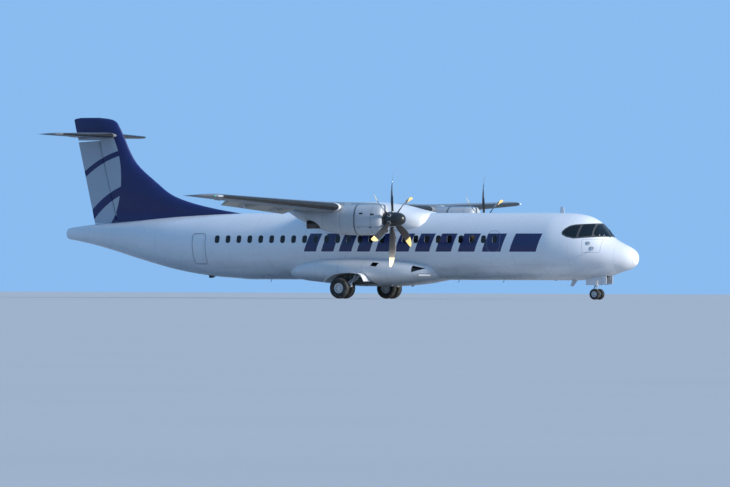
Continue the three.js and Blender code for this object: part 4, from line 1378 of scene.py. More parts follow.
@dataclass
class Cockpit:
    """The dark glazing band round the nose, its panes and its wipers."""

    band: tuple[Row, ...] = (
        (1.02, 0.395), (1.26, 0.395), (2.33, 0.32), (2.64, 0.38), (2.85, 0.49), (2.87, 0.60), (2.76, 0.74),
        (2.60, 0.85), (2.40, 0.90), (1.69, 0.95), (1.02, 0.95),
    )
    panes: tuple[tuple[Row, ...], ...] = (
        ((1.02, 0.425), (1.545, 0.425), (1.62, 0.52), (1.66, 0.905), (1.02, 0.905)),
        ((1.665, 0.435), (2.10, 0.385), (2.16, 0.42), (2.10, 0.865), (2.05, 0.895), (1.74, 0.915),
         (1.70, 0.88)),
        ((2.245, 0.385), (2.33, 0.365), (2.62, 0.425), (2.80, 0.515), (2.815, 0.60), (2.72, 0.715),
         (2.57, 0.815), (2.40, 0.855), (2.20, 0.865), (2.185, 0.82)),
    )
    proud: float = 0.004
    glass: float = 0.0005
    depth: float = 0.03
    post: float = 0.035
    reach: float = 2.0
    skin_span: Row = (0.9, 3.1)
    inner_span: Row = (0.8, 3.2)
    post_box: tuple[Row, Row] = ((10.0, 1.5), (13.0, 4.0))
    wiper: tuple[Row, ...] = ((1.17, 0.20), (1.33, 0.24), (1.47, 0.34))

    def prism(self, outline: Sequence[Row], name: str, coat: Coat) -> Piece:
        """A side outline as a solid through the whole nose."""
        return Model(name).prism(side_view(outline), -self.reach, self.reach, coat).build()

    def build(self, hull: Fuselage) -> None:
        """Builds the surround and the panes.

        Args:
            hull: the fuselage.
        """
        surround = hull.part("cockpit_surround", *self.skin_span, Coat.TRIM, self.proud)
        carve(surround, self.prism(self.band, "band_cutter", Coat.TRIM), "INTERSECT")
        carve(surround, hull.inside(*self.inner_span, Coat.TRIM, self.depth))
        glazing = hull.part("cockpit_panes", *self.skin_span, Coat.GLASS, self.glass)
        outlines = self.prism(self.panes[0], "pane_cutter", Coat.GLASS)
        for outline in self.panes[1:]:
            carve(outlines, self.prism(outline, "pane_cutter", Coat.GLASS), "UNION")
        low, high = ((x, way * self.post, z) for way, (x, z) in zip((-1, 1), self.post_box))
        carve(outlines, Model("post_cutter").block(low, high, Coat.BLACK).build())
        carve(glazing, outlines, "INTERSECT", keep=True)
        carve(surround, outlines)
        carve(glazing, hull.inside(*self.inner_span, Coat.GLASS, self.depth))
        fit(surround, Coat.TRIM, "cockpit_glazing")
        fit(glazing, Coat.GLASS)
        wipers = Model("wipers")
        for side in Side:
            path = [at(station, side * across, self.height(hull, station, across) + 0.02)
                    for station, across in self.wiper]
            wipers.tube(path, 0.009, Coat.BLACK)
            wipers.rod(path[0] - UP * 0.05, path[0] + UP * 0.02, 0.022, Coat.BLACK)
        fit(wipers.build(), Coat.BLACK)

    @staticmethod
    def height(hull: Fuselage, station: float, across: float) -> float:
        """How high the skin is at a station and a distance across."""
        top, middle, _, half = hull.skin(station)
        return middle + (top - middle) * math.sqrt(max(0.0, 1 - (across / half) ** 2))


@dataclass
class Doors:
    """The passenger door with its built-in stair, the cargo door and the service door."""

    treads: int = 5
    tread_pitch: float = 0.29
    tread_depth: float = 0.19
    tread_half: float = 0.27
    tread_low: float = -0.66
    tread_inset: float = 0.066
    tread_thick: float = 0.011
    rail: Row = (-0.74, 0.68)
    rail_inset: float = 0.10
    rail_radius: float = 0.02
    station: float = 19.7
    opening: float = math.radians(118)

    def stair(self, hull: Fuselage) -> Model:
        """Treads and side rails on the inside of the passenger door, level once it is open.

        Args:
            hull: the fuselage.

        Returns:
            The stair.
        """
        model = Model("passenger_stair")
        middle = x_at((PASSENGER.first + PASSENGER.last) / 2)
        along = Vector((0, math.cos(self.opening), math.sin(self.opening)))
        across = Vector((0, -math.sin(self.opening), math.cos(self.opening))) * self.tread_thick
        for i in range(self.treads):
            height = self.tread_low + self.tread_pitch * i
            foot = Vector((0, hull.half_width(self.station, height) - self.tread_inset, AXIS_Z + height))
            edge = foot + along * self.tread_depth
            corners = [foot - across, edge - across, edge + across, foot + across]
            rings = [[Vector((middle + end * self.tread_half, point.y, point.z)) for point in corners]
                     for end in (-1, 1)]
            model.loft(rings, Coat.STEEL)
        for end in (-1, 1):
            x = middle + end * (self.tread_half + self.rail_radius)
            path = []
            for height in steps(*self.rail, 10):
                y = hull.half_width(self.station, height) - self.rail_inset
                path.append(Vector((x, y, AXIS_Z + height)))
            model.tube(path, self.rail_radius, Coat.STEEL)
        return model

    def build(self, hull: Fuselage) -> None:
        """Builds the three doors.

        Args:
            hull: the fuselage.
        """
        panel = hull.panel("passenger_door_skin", PASSENGER)
        fit(panel, Coat.HULL, "passenger_door", body="passenger_door")
        fit(self.stair(hull).build(), Coat.STEEL, body="passenger_door")
        fit(hull.panel("cargo_door_skin", CARGO), Coat.HULL, "cargo_door", body="cargo_door")
        fit(hull.panel("service_door_skin", SERVICE), Coat.HULL, "service_door")


@dataclass
class Fairings:
    """The saddle over the wing and the belly fairing with its main gear bays."""

    saddle: tuple[Row, ...] = (
        (9.15, 0.70, 1.18, 0.50), (9.50, 1.18, 1.40, 0.48), (10.2, 1.40, 1.56, 0.45),
        (11.1, 1.465, 1.76, 0.43), (12.2, 1.48, 1.85, 0.43), (13.2, 1.465, 1.80, 0.44),
        (14.2, 1.34, 1.62, 0.47), (15.0, 1.12, 1.42, 0.52), (15.5, 0.70, 1.18, 0.58),
    )
    belly: tuple[Row, ...] = (
        (8.85, 0.95, -0.90, -1.28), (9.0, 1.33, -0.72, -1.40), (9.4, 1.59, -0.62, -1.48),
        (10.3, 1.79, -0.51, -1.60), (11.4, 1.86, -0.43, -1.662), (12.5, 1.86, -0.40, -1.665),
        (13.5, 1.77, -0.41, -1.61), (14.5, 1.54, -0.47, -1.51), (15.3, 1.28, -0.64, -1.42),
        (15.7, 0.95, -0.90, -1.28),
    )
    power: float = 2.5
    segments: int = 96
    bay: tuple[Row, ...] = (
        (11.30, 0.30), (11.68, 1.03), (12.05, 1.085), (12.50, 1.095), (12.95, 1.03), (13.25, 0.88),
        (13.42, 0.71), (13.42, 0.30),
    )
    inlets: tuple[tuple[Row, ...], ...] = (
        ((9.08, -0.92), (9.62, -0.80), (9.62, -1.08)),
        ((11.14, -0.70), (11.44, -0.67), (11.48, -0.82), (11.20, -0.85)),
    )
    inlet_depth: float = 0.10
    lamp: tuple[Row, Row] = ((9.16, -1.20), (0.22, 0.060))
    lamp_depth: float = 0.03
    lamp_rim: float = 0.016
    lamp_corner: float = 0.98
    inside: float = 0.3
    outside: float = 3.0
    bay_wall: float = 1.12
    pad: Row = (10.9, 0.9, -1.668, 0.12)

    def body(self, name: str, rows: Sequence[Row], coat: Coat = Coat.WHITE) -> Model:
        """A fairing through the rows of a table.

        Args:
            name: the piece's name.
            rows: station, half width, top and bottom.
            coat: its finish.

        Returns:
            The model.
        """
        shape = Curve(rows)
        rings = []
        for station in steps(rows[0][0], rows[-1][0], 56):
            half, top, bottom = shape(station)
            rings.append(oval(station, 0, half, top, (top + bottom) / 2, bottom, self.power, self.segments))
        return Model(name).loft(rings, coat)

    def under_skin(self, depth: float, coat: Coat) -> Piece:
        """The belly fairing's body, smaller all round.

        Args:
            depth: how much smaller.
            coat: its finish.

        Returns:
            The piece.
        """
        rows = [(station, half - depth, top - depth, bottom + depth)
                for station, half, top, bottom in self.belly]
        return self.body("inner_cutter", rows, coat).build()

    def recess(self, name: str, outline: Sequence[Row], side: int, depth: float, coat: Coat) -> Piece:
        """A side outline in stations and heights, as a solid from a depth under the skin to past it.

        Args:
            name: the piece's name.
            outline: its corners.
            side: left or right.
            depth: how far under the skin it starts.
            coat: its finish.

        Returns:
            The piece.
        """
        ends = on_side(side, self.inside, self.outside)
        return carve(Model(name).prism(side_view(outline), *ends, coat).build(), self.under_skin(depth, coat))

    def build(self) -> None:
        """Builds both fairings, the pads and the bays' ribs."""
        fit(self.body("wing_saddle", self.saddle).build(), Coat.WHITE, "wing_fairing")
        belly = self.body("belly_skin", self.belly).build()
        for side in Side:
            points = [(x_at(station), z) for station, z in self.bay]
            bay = Model("bay").prism(points, *on_side(side, self.bay_wall, self.outside), Coat.BAY)
            carve(belly, bay.build())
            station, y, height, length = self.pad
            carve(belly, jack_pad(at(station, side * y, height), length), "UNION")
            # Painted shade: each inlet is a shallow recess with black walls and floor, standing in for the
            # shade in its duct.
            for outline in self.inlets:
                carve(belly, self.recess("inlet", outline, side, self.inlet_depth, Coat.BLACK))
            slot = rounded(*self.lamp, self.lamp[1][1] * self.lamp_corner)
            carve(belly, self.recess("slot", slot, side, self.lamp_depth, Coat.BLACK))
        fit(belly, Coat.WHITE, "belly_fairing")
        for side in Side:
            middle, half = self.lamp
            inset = tuple(part - self.lamp_rim for part in half)
            glass = rounded(middle, inset, inset[1] * self.lamp_corner)
            lens = self.recess(
                f"belly_lamp_{side.label}", glass, side, self.lamp_depth - 0.002, Coat.CLEAR_LAMP,
            )
            fit(carve(lens, self.under_skin(0.008, Coat.CLEAR_LAMP), "INTERSECT"), Coat.CLEAR_LAMP)
            low, high = on_side(side, self.bay_wall, self.bay_wall + 0.05)
            rib = Model("rib").block((-0.009, low, 0.62), (0.009, high, 0.99), Coat.BAY, 0.003)
            ribs = REPEATER.row(f"bay_ribs_{side.label}", Coat.BAY, rib, 6, AHEAD * 0.45, AHEAD * 0.24)
            fit(ribs, Coat.BAY)


def aerofoil(share: float, ratio: float) -> float:
    """Half the thickness of an aerofoil at a share of its chord."""
    root = 0.2969 * math.sqrt(share)
    return 5 * ratio * (root - share * (0.126 + share * (0.3516 - share * (0.2843 - share * 0.1036))))


def section(leading: float, trailing: float, ratio: float, put: Callable[[float, float], Vector],
            count: int = 22, edge: float = 0.003) -> Ring:
    """An aerofoil's ring from its trailing edge over the top, round the nose and back.

    Args:
        leading: station of the leading edge.
        trailing: station of the trailing edge.
        ratio: thickness over chord.
        put: places a station and an offset from the chord.
        count: steps on each side.
        edge: half the thickness of the trailing edge.

    Returns:
        The ring.
    """
    chord = trailing - leading
    shares = [0.5 - 0.5 * math.cos(math.pi * i / count) for i in range(count + 1)]
    upper = [put(leading + share * chord, aerofoil(share, ratio) * chord + edge * share) for share in shares]
    lower = [put(leading + share * chord, -aerofoil(share, ratio) * chord - edge * share) for share in shares]
    return upper[::-1] + lower[1:]


def teardrop(hinge: float, trailing: float, radius: float, put: Callable[[float, float], Vector],
             edge: float = 0.003) -> Ring:
    """A moving surface's ring: a round nose about its hinge, then a taper to its edge.

    Args:
        hinge: station of the hinge.
        trailing: station of the trailing edge.
        radius: half its thickness at the hinge.
        put: places a station and an offset from the chord.
        edge: half the thickness of the trailing edge.

    Returns:
        The ring.
    """
    nose = [math.pi * (0.5 - i / 14) for i in range(15)]
    ring = [put(hinge - radius * math.cos(angle), radius * math.sin(angle)) for angle in nose]
    length = trailing - hinge
    tail = [(share, radius + (edge - radius) * share ** 1.15) for share in (0.12, 0.3, 0.5, 0.7, 0.87, 1.0)]
    lower = [put(hinge + share * length, -half) for share, half in tail]
    upper = [put(hinge + share * length, half) for share, half in reversed(tail)]
    return ring + lower + upper


def boot(leading: float, trailing: float, ratio: float, put: Callable[[float, float], Vector],
         cover: float = 0.075, proud: float = 0.003, depth: float = 0.004) -> Ring:
    """A de-icing boot's ring: a thin skin round an aerofoil's nose.

    Args:
        leading: station of the leading edge.
        trailing: station of the trailing edge.
        ratio: thickness over chord.
        put: places a station and an offset from the chord.
        cover: how much of the chord it covers.
        proud: how far it stands out.
        depth: how far it reaches in.

    Returns:
        The ring.
    """
    chord = trailing - leading
    shares = [cover * (i / 7) ** 2 for i in range(7, 0, -1)]

    def side(way: int, out: float) -> Ring:
        """The points on one side of the nose."""
        return [put(leading + share * chord - out * 0.3, way * (aerofoil(share, ratio) * chord + out))
                for share in shares]

    outer = side(1, proud) + [put(leading - proud, 0)] + side(-1, proud)[::-1]
    inner = side(1, -depth) + [put(leading + depth, 0)] + side(-1, -depth)[::-1]
    return outer + inner[::-1]


@dataclass(frozen=True)
class Span:
    """A moving surface's span, and where its chord is cut or its arms stand."""

    first: float
    last: float
    arms: tuple[float, ...] = ()
    chord: float = 0.0


@dataclass
class Wing:
    """The wing with its flaps, ailerons, track fairings, boots and lights."""

    height: float = 1.585
    rows: tuple[Row, ...] = (
        (0.0, 11.32, 13.89, 1.585, 0.175), (4.70, 11.32, 13.89, 1.585, 0.17),
        (12.95, 12.11, 13.66, 1.920, 0.13), (13.30, 12.35, 13.645, 1.933, 0.115),
        (13.525, 12.90, 13.625, 1.941, 0.08),
    )
    knee: float = 4.7
    flap_front: float = 0.72
    pivot_chord: float = 0.8
    pivot_drop: float = 0.15
    flap_angle: float = math.radians(30)
    inner: Span = Span(1.64, 3.44, (2.0, 3.08))
    outer: Span = Span(4.80, 10.25, (6.30, 9.0))
    aileron: Span = Span(10.45, 12.90, (), 0.74)
    track_rows: tuple[Row, ...] = (
        (1.05, 0.160, 0.220, 0.012), (0.98, 0.115, 0.270, 0.030), (0.80, 0.055, 0.300, 0.042),
        (0.55, -0.012, 0.310, 0.046), (0.30, -0.040, 0.290, 0.044), (0.235, -0.046, 0.280, 0.040),
        (0.225, -0.048, 0.108, 0.038), (0.14, -0.055, 0.104, 0.030), (0.05, -0.060, 0.095, 0.026),
        (-0.03, -0.055, 0.070, 0.024), (-0.06, -0.040, 0.030, 0.012),
    )
    arm_offset: float = 0.046
    arm_half: float = 0.012
    cut_length: float = 1.5
    cut_half: float = 0.9
    seam: float = 0.0006
    bends: Row = (12.95, 13.30, 13.5)
    arm_foot: tuple[Row, ...] = ((0.04, -0.02), (0.02, -0.04), (-0.03, -0.04), (-0.20, 0.07))
    arm_top: tuple[Row, ...] = ((-0.33, 0), (-0.10, 0.03), (0.02, 0.04))
    arm_front: Row = (0.045, 0.08)
    tip_chord: Row = (0.12, 0.02)
    boot_lengths: tuple[Row, ...] = ((1.62, 3.40, 2), (4.78, 12.95, 5))
    cuff: Row = (4.62, 4.775)
    tab_y: float = 11.2
    lamp: Row = (0.034, 0.09)
    strobes: Row = (13.02, 13.10)

    def row(self, y: float) -> list[float]:
        """Leading station, trailing station, height and thickness ratio at a span place.

        Args:
            y: the place along the span.

        Returns:
            The four values.
        """
        for low, high in zip(self.rows, self.rows[1:]):
            if y <= high[0]:
                share = (y - low[0]) / (high[0] - low[0])
                return [a + (b - a) * share for a, b in zip(low[1:], high[1:])]
        return list(self.rows[-1][1:])

    def nose(self, y: float, share: float) -> float:
        """Half the wing's thickness at a span place and a share of its chord."""
        leading, trailing, _, ratio = self.row(y)
        return aerofoil(share, ratio) * (trailing - leading)

    def ring(self, y: float, side: int, shape: Callable = section, **extra: float) -> Ring:
        """The section at a span place."""
        leading, trailing, height, ratio = self.row(y)
        return shape(leading, trailing, ratio, lambda s, offset: at(s, side * y, height + offset), **extra)

    def chord_at(self, y: float, share: float) -> float:
        """Station at a span place and a share of the chord."""
        leading, trailing = self.row(y)[:2]
        return leading + share * (trailing - leading)

    def cutter(self, first: float, last: float, share: float, side: int, lead: float) -> Piece:
        """Everything behind a share of the chord between two span places.

        Args:
            first: its inner end.
            last: its outer end.
            share: the share of the chord.
            side: left or right.
            lead: how far ahead of that place it starts.

        Returns:
            The cutter.
        """
        start, end = (x_at(self.chord_at(y, share) - lead) for y in (first, last))
        back = start - self.cut_length
        inner, outer = side * (first - CLEAR), side * (last + CLEAR)
        outline = [(start, inner), (end, outer), (back, outer), (back, inner)]
        low, high = (AXIS_Z + self.height + way * self.cut_half for way in (-1, 1))
        return Model("wing_cutter").prism(outline, low, high, Coat.BAY, True).build()

    def axis(self, span: Span, side: int) -> tuple[Vector, Vector]:
        """A flap's axis: its start, and its direction outboard to the left.

        Args:
            span: its span.
            side: left or right.

        Returns:
            The start and the direction.
        """
        ends = []
        for y in (span.first, span.last):
            below = self.pivot_drop + self.nose(y, self.pivot_chord)
            ends.append(at(self.chord_at(y, self.pivot_chord), side * y, self.row(y)[2] - below))
        return ends[0], (ends[1] - ends[0]).normalized() * side

    def pivot(self, span: Span, side: int, y: float) -> Vector:
        """The point of a flap's axis at a span place."""
        start, along = self.axis(span, side)
        return start + along * ((side * y - start.y) / along.y)

    def flap(self, name: str, span: Span, side: int) -> None:
        """A flap, lowered about its axis, with its arms, its end ribs and its trailing edge.

        Args:
            name: the piece's name.
            span: its span.
            side: left or right.
        """
        model = Model(f"{name}_skin")
        rings = []
        for y in steps(span.first, span.last, 6):
            _, trailing, height, _ = self.row(y)
            radius = self.nose(y, self.flap_front) - 0.006
            hinge = self.chord_at(y, self.flap_front) + radius + CLEAR
            rings.append(teardrop(hinge, trailing, radius, lambda s, o: at(s, side * y, height + o)))
        model.loft(rings, Coat.FLAP)
        for y in span.arms:
            pivot = self.pivot(span, side, y + self.arm_offset)
            level = self.pivot_drop + 0.06
            outline = [*self.arm_foot, *((a, level + b) for a, b in self.arm_top), self.arm_front]
            points = [(pivot.x + a, pivot.z + b) for a, b in outline]
            model.prism(points, pivot.y - self.arm_half, pivot.y + self.arm_half, Coat.STEEL)
            across = Vector((0, self.arm_half + 0.004, 0))
            model.rod(pivot - across, pivot + across, 0.03, Coat.CHROME)
        start, along = self.axis(span, side)
        turn = Matrix.Rotation(-self.flap_angle, 4, along)
        piece = model.build()
        piece.data.transform(Matrix.Translation(start) @ turn @ Matrix.Translation(-start))
        fit(piece, Coat.FLAP, name, body=name)

    def track(self, model: Model, span: Span, side: int, y: float) -> None:
        """A flap track's long fairing, from under the wing to the flap's axis.

        Args:
            model: the piece that gains them.
            span: its span.
            side: left or right.
            y: the place along the span.
        """
        pivot = self.pivot(span, side, y)
        rings = []
        for ahead, low, high, half in self.track_rows:
            ring = []
            for angle in turns(28):
                ring.append(pivot + Vector((ahead, half * math.cos(angle),
                                            (low + high) / 2 + (high - low) / 2 * math.sin(angle))))
            rings.append(ring)
        model.loft(rings, Coat.FLAP)

    def boots(self, model: Model, side: int, first: float, last: float, count: int) -> None:
        """Boots round the leading edge, in lengths with narrow joints between them.

        Args:
            model: the piece that gains them.
            side: left or right.
            first: the inner end.
            last: the outer end.
            count: how many lengths.
        """
        length = (last - first) / count
        for i in range(count):
            low, high = first + i * length + 0.006, first + (i + 1) * length - 0.006
            model.loft([self.ring(y, side, boot) for y in steps(low, high, 3)], Coat.BOOT)

    def build(self) -> None:
        """Builds the wing's fixed skins and its moving surfaces."""
        centre = Model("wing_centre_skin").loft(
            [self.ring(abs(y), 1 if y > 0 else -1) for y in steps(-self.knee, self.knee, 10)], Coat.WING,
        ).build()
        for side in Side:
            carve(centre, self.cutter(self.inner.first, self.inner.last, self.flap_front, side, 0.0))
        fit(centre, Coat.WING, "wing_centre")
        for side in Side:
            first, second, third = self.bends
            places = steps(self.knee + self.seam, first, 12) + steps(first, second, 4)[1:]
            places += steps(second, third, 4)[1:]
            rings = [self.ring(y, side) for y in places] + [self.tip(side)]
            outer = Model(f"wing_{side.label}_skin").loft(rings, Coat.WING).build()
            carve(outer, self.cutter(self.outer.first, self.outer.last, self.flap_front, side, 0.0))
            lead = self.nose(self.aileron.first, self.aileron.chord) + CLEAR
            carve(outer, self.cutter(self.aileron.first, self.aileron.last, self.aileron.chord, side, lead))
            fit(outer, Coat.WING, f"wing_{side.label}")
            extras = Model(f"wing_boots_{side.label}")
            for first, last, count in self.boot_lengths:
                self.boots(extras, side, first, last, count)
            # Painted highlight: the white cuff on the leading edge beside the nacelle stands in partly for a
            # bright glint there.
            extras.loft([self.ring(y, side, boot, cover=0.11) for y in steps(*self.cuff, 2)], Coat.WHITE)
            fit(extras.build(), Coat.BOOT)
            tracks = Model(f"flap_tracks_{side.label}")
            for span in (self.inner, self.outer):
                for y in span.arms:
                    self.track(tracks, span, side, y)
            fit(tracks.build(), Coat.FLAP)
            self.flap(f"flap_inner_{side.label}", self.inner, side)
            self.flap(f"flap_outer_{side.label}", self.outer, side)
            self.build_aileron(side)
            self.build_tip(side)

    def surface(self, name: str, span: Span, side: int, coat: Coat) -> Model:
        """The skin of a moving surface that turns about its hinge line.

        Args:
            name: the piece's name.
            span: its span.
            side: left or right.
            coat: its finish.

        Returns:
            The model.
        """
        rings = []
        for y in steps(span.first, span.last, 4):
            _, trailing, height, _ = self.row(y)
            rings.append(teardrop(self.chord_at(y, span.chord), trailing, self.nose(y, span.chord),
                                  lambda s, o: at(s, side * y, height + o)))
        return Model(name).loft(rings, coat)

    def tip(self, side: int) -> Ring:
        """The last, thin section of the rounded tip.

        Args:
            side: left or right.

        Returns:
            The section's points.
        """
        y, leading, trailing, height, _ = self.rows[-1]
        front, back = self.tip_chord
        return section(leading + front, trailing - back, 0.01, lambda s, o: at(s, side * y, height + o))

    def build_aileron(self, side: Side) -> None:
        """An aileron with its trim tab's actuator fairing.

        Args:
            side: left or right.
        """
        name = f"aileron_{side.label}"
        model = self.surface(f"{name}_skin", self.aileron, side, Coat.FLAP)
        y = self.tab_y
        hinge, height = self.chord_at(y, self.aileron.chord), self.row(y)[2]
        model.tube([at(hinge + 0.02, side * y, height - 0.075), at(hinge + 0.3, side * y, height - 0.045)],
                   0.014, Coat.STEEL)
        fit(model.build(), Coat.FLAP, name, body=name)

    def build_tip(self, side: Side) -> None:
        """The tip's lamp, and its static wicks.

        Args:
            side: left or right.
        """
        leading, _, height, _ = self.row(13.22)
        coat = Coat.RED_LAMP if side > 0 else Coat.GREEN_LAMP
        lamp = Model(f"tip_lamp_{side.label}")
        radius, half = self.lamp
        angles = steps(0, math.pi, 12)
        profile = [(radius * math.sin(angle), half * (1 - math.cos(angle))) for angle in angles]
        outward = Vector((0.8, side * 0.55, 0))
        lamp.turned(profile, at(leading + 0.14, side * 13.225, height), outward, coat, 24)
        for y in self.strobes:
            front, _, level, _ = self.row(y)
            lamp.turned(profile, at(front + 0.12, side * y, level), Vector((0.9, side * 0.3, 0)),
                        Coat.CLEAR_LAMP, 24)
        fit(lamp.build(), coat)
        path = [Vector((0.03, 0, 0)), Vector((-0.04, 0, 0)), Vector((-0.13, 0, -0.004))]
        wick = Model("wick").tube(path, 0.003, Coat.BLACK, 6)
        start, step = at(13.65, side * 13.0, 1.922), Vector((0.004, side * 0.17, 0.006))
        fit(REPEATER.row(f"wing_wicks_{side.label}", Coat.BLACK, wick, 3, start, step), Coat.BLACK)


@dataclass
class Tail:
    """The fin with its rudder and cap, and the tailplane with its elevators."""

    fin_rows: tuple[Row, ...] = (
        (1.365, 18.50, 25.85, 0.150), (1.58, 19.86, 25.90, 0.165), (1.90, 21.25, 25.98, 0.180),
        (2.18, 22.00, 26.05, 0.190), (2.65, 22.68, 26.16, 0.185), (3.60, 23.80, 26.39, 0.165),
        (4.6997, 24.39, 26.66, 0.142),
    )
    fin_foot: Row = (0.90, 22.30, 25.74, 0.190)
    cap_rows: tuple[Row, ...] = (
        (4.70, 24.39, 26.66, 0.142), (5.04, 24.57, 26.75, 0.140), (5.28, 24.74, 26.80, 0.120),
        (5.40, 25.00, 26.825, 0.090), (5.47, 25.56, 26.50, 0.035),
    )
    rudder: tuple[Row, Row] = ((1.045, 24.72, 0.965), (4.48, 25.61, 4.43))
    head_gap: float = 0.025
    plinth: Row = (24.40, 25.76)
    plinth_gap: float = 0.012
    heights: Row = (1.365, 2.65, 4.6997)
    cap_heights: Row = (4.7, 5.47, 18)
    root_trailing: float = 25.768
    rudder_horns: Row = (1.7, 2.15)
    elevator_horns: Row = (0.8, 1.15)
    wick_place: Row = (26.41, 3.47)
    cut_down: float = 0.4
    cut_back: float = 2.7
    cut_half: float = 0.9
    boot_length: Row = (0.30, 3.45, 2)
    height: float = 4.70
    plane_rows: tuple[Row, ...] = (
        (0.0, 24.64, 26.73, 4.70, 0.125), (3.45, 25.30, 26.42, 4.70, 0.11), (3.655, 25.56, 26.40, 4.70, 0.08),
    )
    elevator: Span = Span(0.23, 3.42, (), 0.66)

    def __post_init__(self) -> None:
        """Fits the fin's outline."""
        self.outline = Curve(self.fin_rows)
        self.cap = Curve(self.cap_rows)
        self.plane = Wing(height=self.height, rows=self.plane_rows)

    @staticmethod
    def standing(height: float, leading: float, trailing: float, half: float, shape: Callable = section,
                 **extra: float) -> Ring:
        """A level section of the fin."""
        ratio = 2 * half / (trailing - leading)
        return shape(leading, trailing, ratio, lambda s, offset: at(s, offset, height), **extra)

    def hinge(self, height: float) -> float:
        """Station of the rudder's axis at a height."""
        (low, foot, _), (high, head, _) = self.rudder
        return foot + (height - low) / (high - low) * (head - foot)

    def radius(self, height: float) -> float:
        """Half the fin's thickness at the rudder's axis, by straight lines between the rows.

        Args:
            height: the height.

        Returns:
            Half the thickness.
        """
        rows = (self.fin_foot, *self.fin_rows)
        for low, high in zip(rows, rows[1:]):
            if height <= high[0]:
                share = (height - low[0]) / (high[0] - low[0])
                leading, trailing, half = (a + (b - a) * share for a, b in zip(low[1:], high[1:]))
                break
        chord = trailing - leading
        return aerofoil((self.hinge(height) - leading) / chord, 2 * half / chord) * chord

    def build(self) -> None:
        """Builds the whole tail."""
        rings = [self.standing(*self.fin_foot)]
        first, second, third = self.heights
        heights = steps(first, second, 26) + steps(second, third, 12)[1:]
        rings += [self.standing(height, *self.outline(height)) for height in heights]
        fin = Model("fin_skin").loft(rings, Coat.TAIL).build()
        (low, _, _), (high, _, _) = self.rudder
        foot = low - self.cut_down
        cut = [(x_at(self.hinge(level) - self.radius(near) - CLEAR), AXIS_Z + top)
               for level, near, top in ((foot, low, foot), (high, high, high + self.head_gap))]
        back = cut[1][0] - self.cut_back
        outline = [*cut, (back, cut[1][1]), (back, cut[0][1])]
        carve(fin, Model("rudder_cutter").prism(outline, -self.cut_half, self.cut_half, Coat.BAY).build())
        fit(fin, Coat.TAIL, "fin")
        self.build_rudder()
        self.build_plinth()
        rings = [self.standing(level, *self.cap(level)) for level in steps(*self.cap_heights)]
        cap = Model("fin_cap_skin").loft(rings, Coat.TAIL).build()
        fit(cap, Coat.TAIL, "fin_cap")
        self.build_plane()

    def build_plinth(self) -> None:
        """The low fairing on the hull under the rudder's foot."""
        (low, hinge, low_edge), _ = self.rudder
        front, back = self.plinth
        fall = (low_edge - low) / (back - hinge)
        rings = [
            section(front, back, 0.15, lambda s, offset: at(s, offset, level + slope * max(s - hinge, 0)))
            for level, slope in ((low - 0.2, fall), (low - self.plinth_gap, fall))
        ]
        fit(Model("rudder_plinth").loft(rings, Coat.TAIL).build(), Coat.TAIL)

    def build_rudder(self) -> None:
        """The rudder with its tab's fairings."""
        (low, _, low_edge), (high, _, high_edge) = self.rudder
        rings = []
        for share in steps(0, 1, 12):
            height = low + (high - low) * share
            edge = (low_edge - low) * (1 - share) + (high_edge - high) * share
            trailing = self.outline(max(height, self.heights[0]))[1] if share else self.root_trailing
            hinge = self.hinge(height)
            rings.append(teardrop(hinge, trailing, self.radius(height), lambda s, offset: at(
                s, offset, height + edge * max((s - hinge) / (trailing - hinge), 0))))
        model = Model("rudder_skin").loft(rings, Coat.TAIL)
        for height in self.rudder_horns:
            hinge = self.hinge(height)
            trailing = self.outline(height)[1]
            half = self.radius(height)
            model.tube([at(hinge + 0.1, half + 0.004, height), at(hinge + 0.3, half * 0.85 + 0.01, height),
                        at(trailing - 0.25, half * 0.4 + 0.012, height)], 0.016, Coat.TAIL)
        fit(model.build(), Coat.TAIL, "rudder", body="rudder")

    def build_plane(self) -> None:
        """The tailplane, its boots, the elevators and the wicks."""
        plane = self.plane
        bend, tip = self.plane_rows[1][0], self.plane_rows[2][0]
        inner = steps(-bend, bend, 14)
        tips = steps(bend, tip, 4)[1:]
        places = [-y for y in reversed(tips)] + inner + tips
        rings = [plane.ring(abs(y), 1 if y > 0 else -1) for y in places]
        skin = Model("tailplane_skin").loft(rings, Coat.WING).build()
        span = self.elevator
        lead = plane.nose(span.first, span.chord) + CLEAR
        for side in Side:
            carve(skin, plane.cutter(span.first, span.last, span.chord, side, lead))
        fit(skin, Coat.WING, "tailplane")
        for side in Side:
            boots = Model(f"tailplane_boots_{side.label}")
            plane.boots(boots, side, *self.boot_length)
            fit(boots.build(), Coat.BOOT)
            name = f"elevator_{side.label}"
            model = plane.surface(f"{name}_skin", span, side, Coat.WING)
            for y in self.elevator_horns:
                _, trailing, height, _ = plane.row(y)
                front = at(plane.chord_at(y, span.chord) + 0.05, side * y, height - 0.09)
                model.tube([front, at(trailing - 0.15, side * y, height - 0.04)], 0.013, Coat.STEEL)
            fit(model.build(), Coat.WING, name, body=name)
            wick = Model("wick").tube([AHEAD * 0.03, AHEAD * -0.11], 0.003, Coat.BLACK, 6)
            station, y = self.wick_place
            start, step = at(station, side * y, self.height), LEFTWARD * (side * 0.1)
            fit(REPEATER.row(f"tailplane_wicks_{side.label}", Coat.BLACK, wick, 2, start, step), Coat.BLACK)


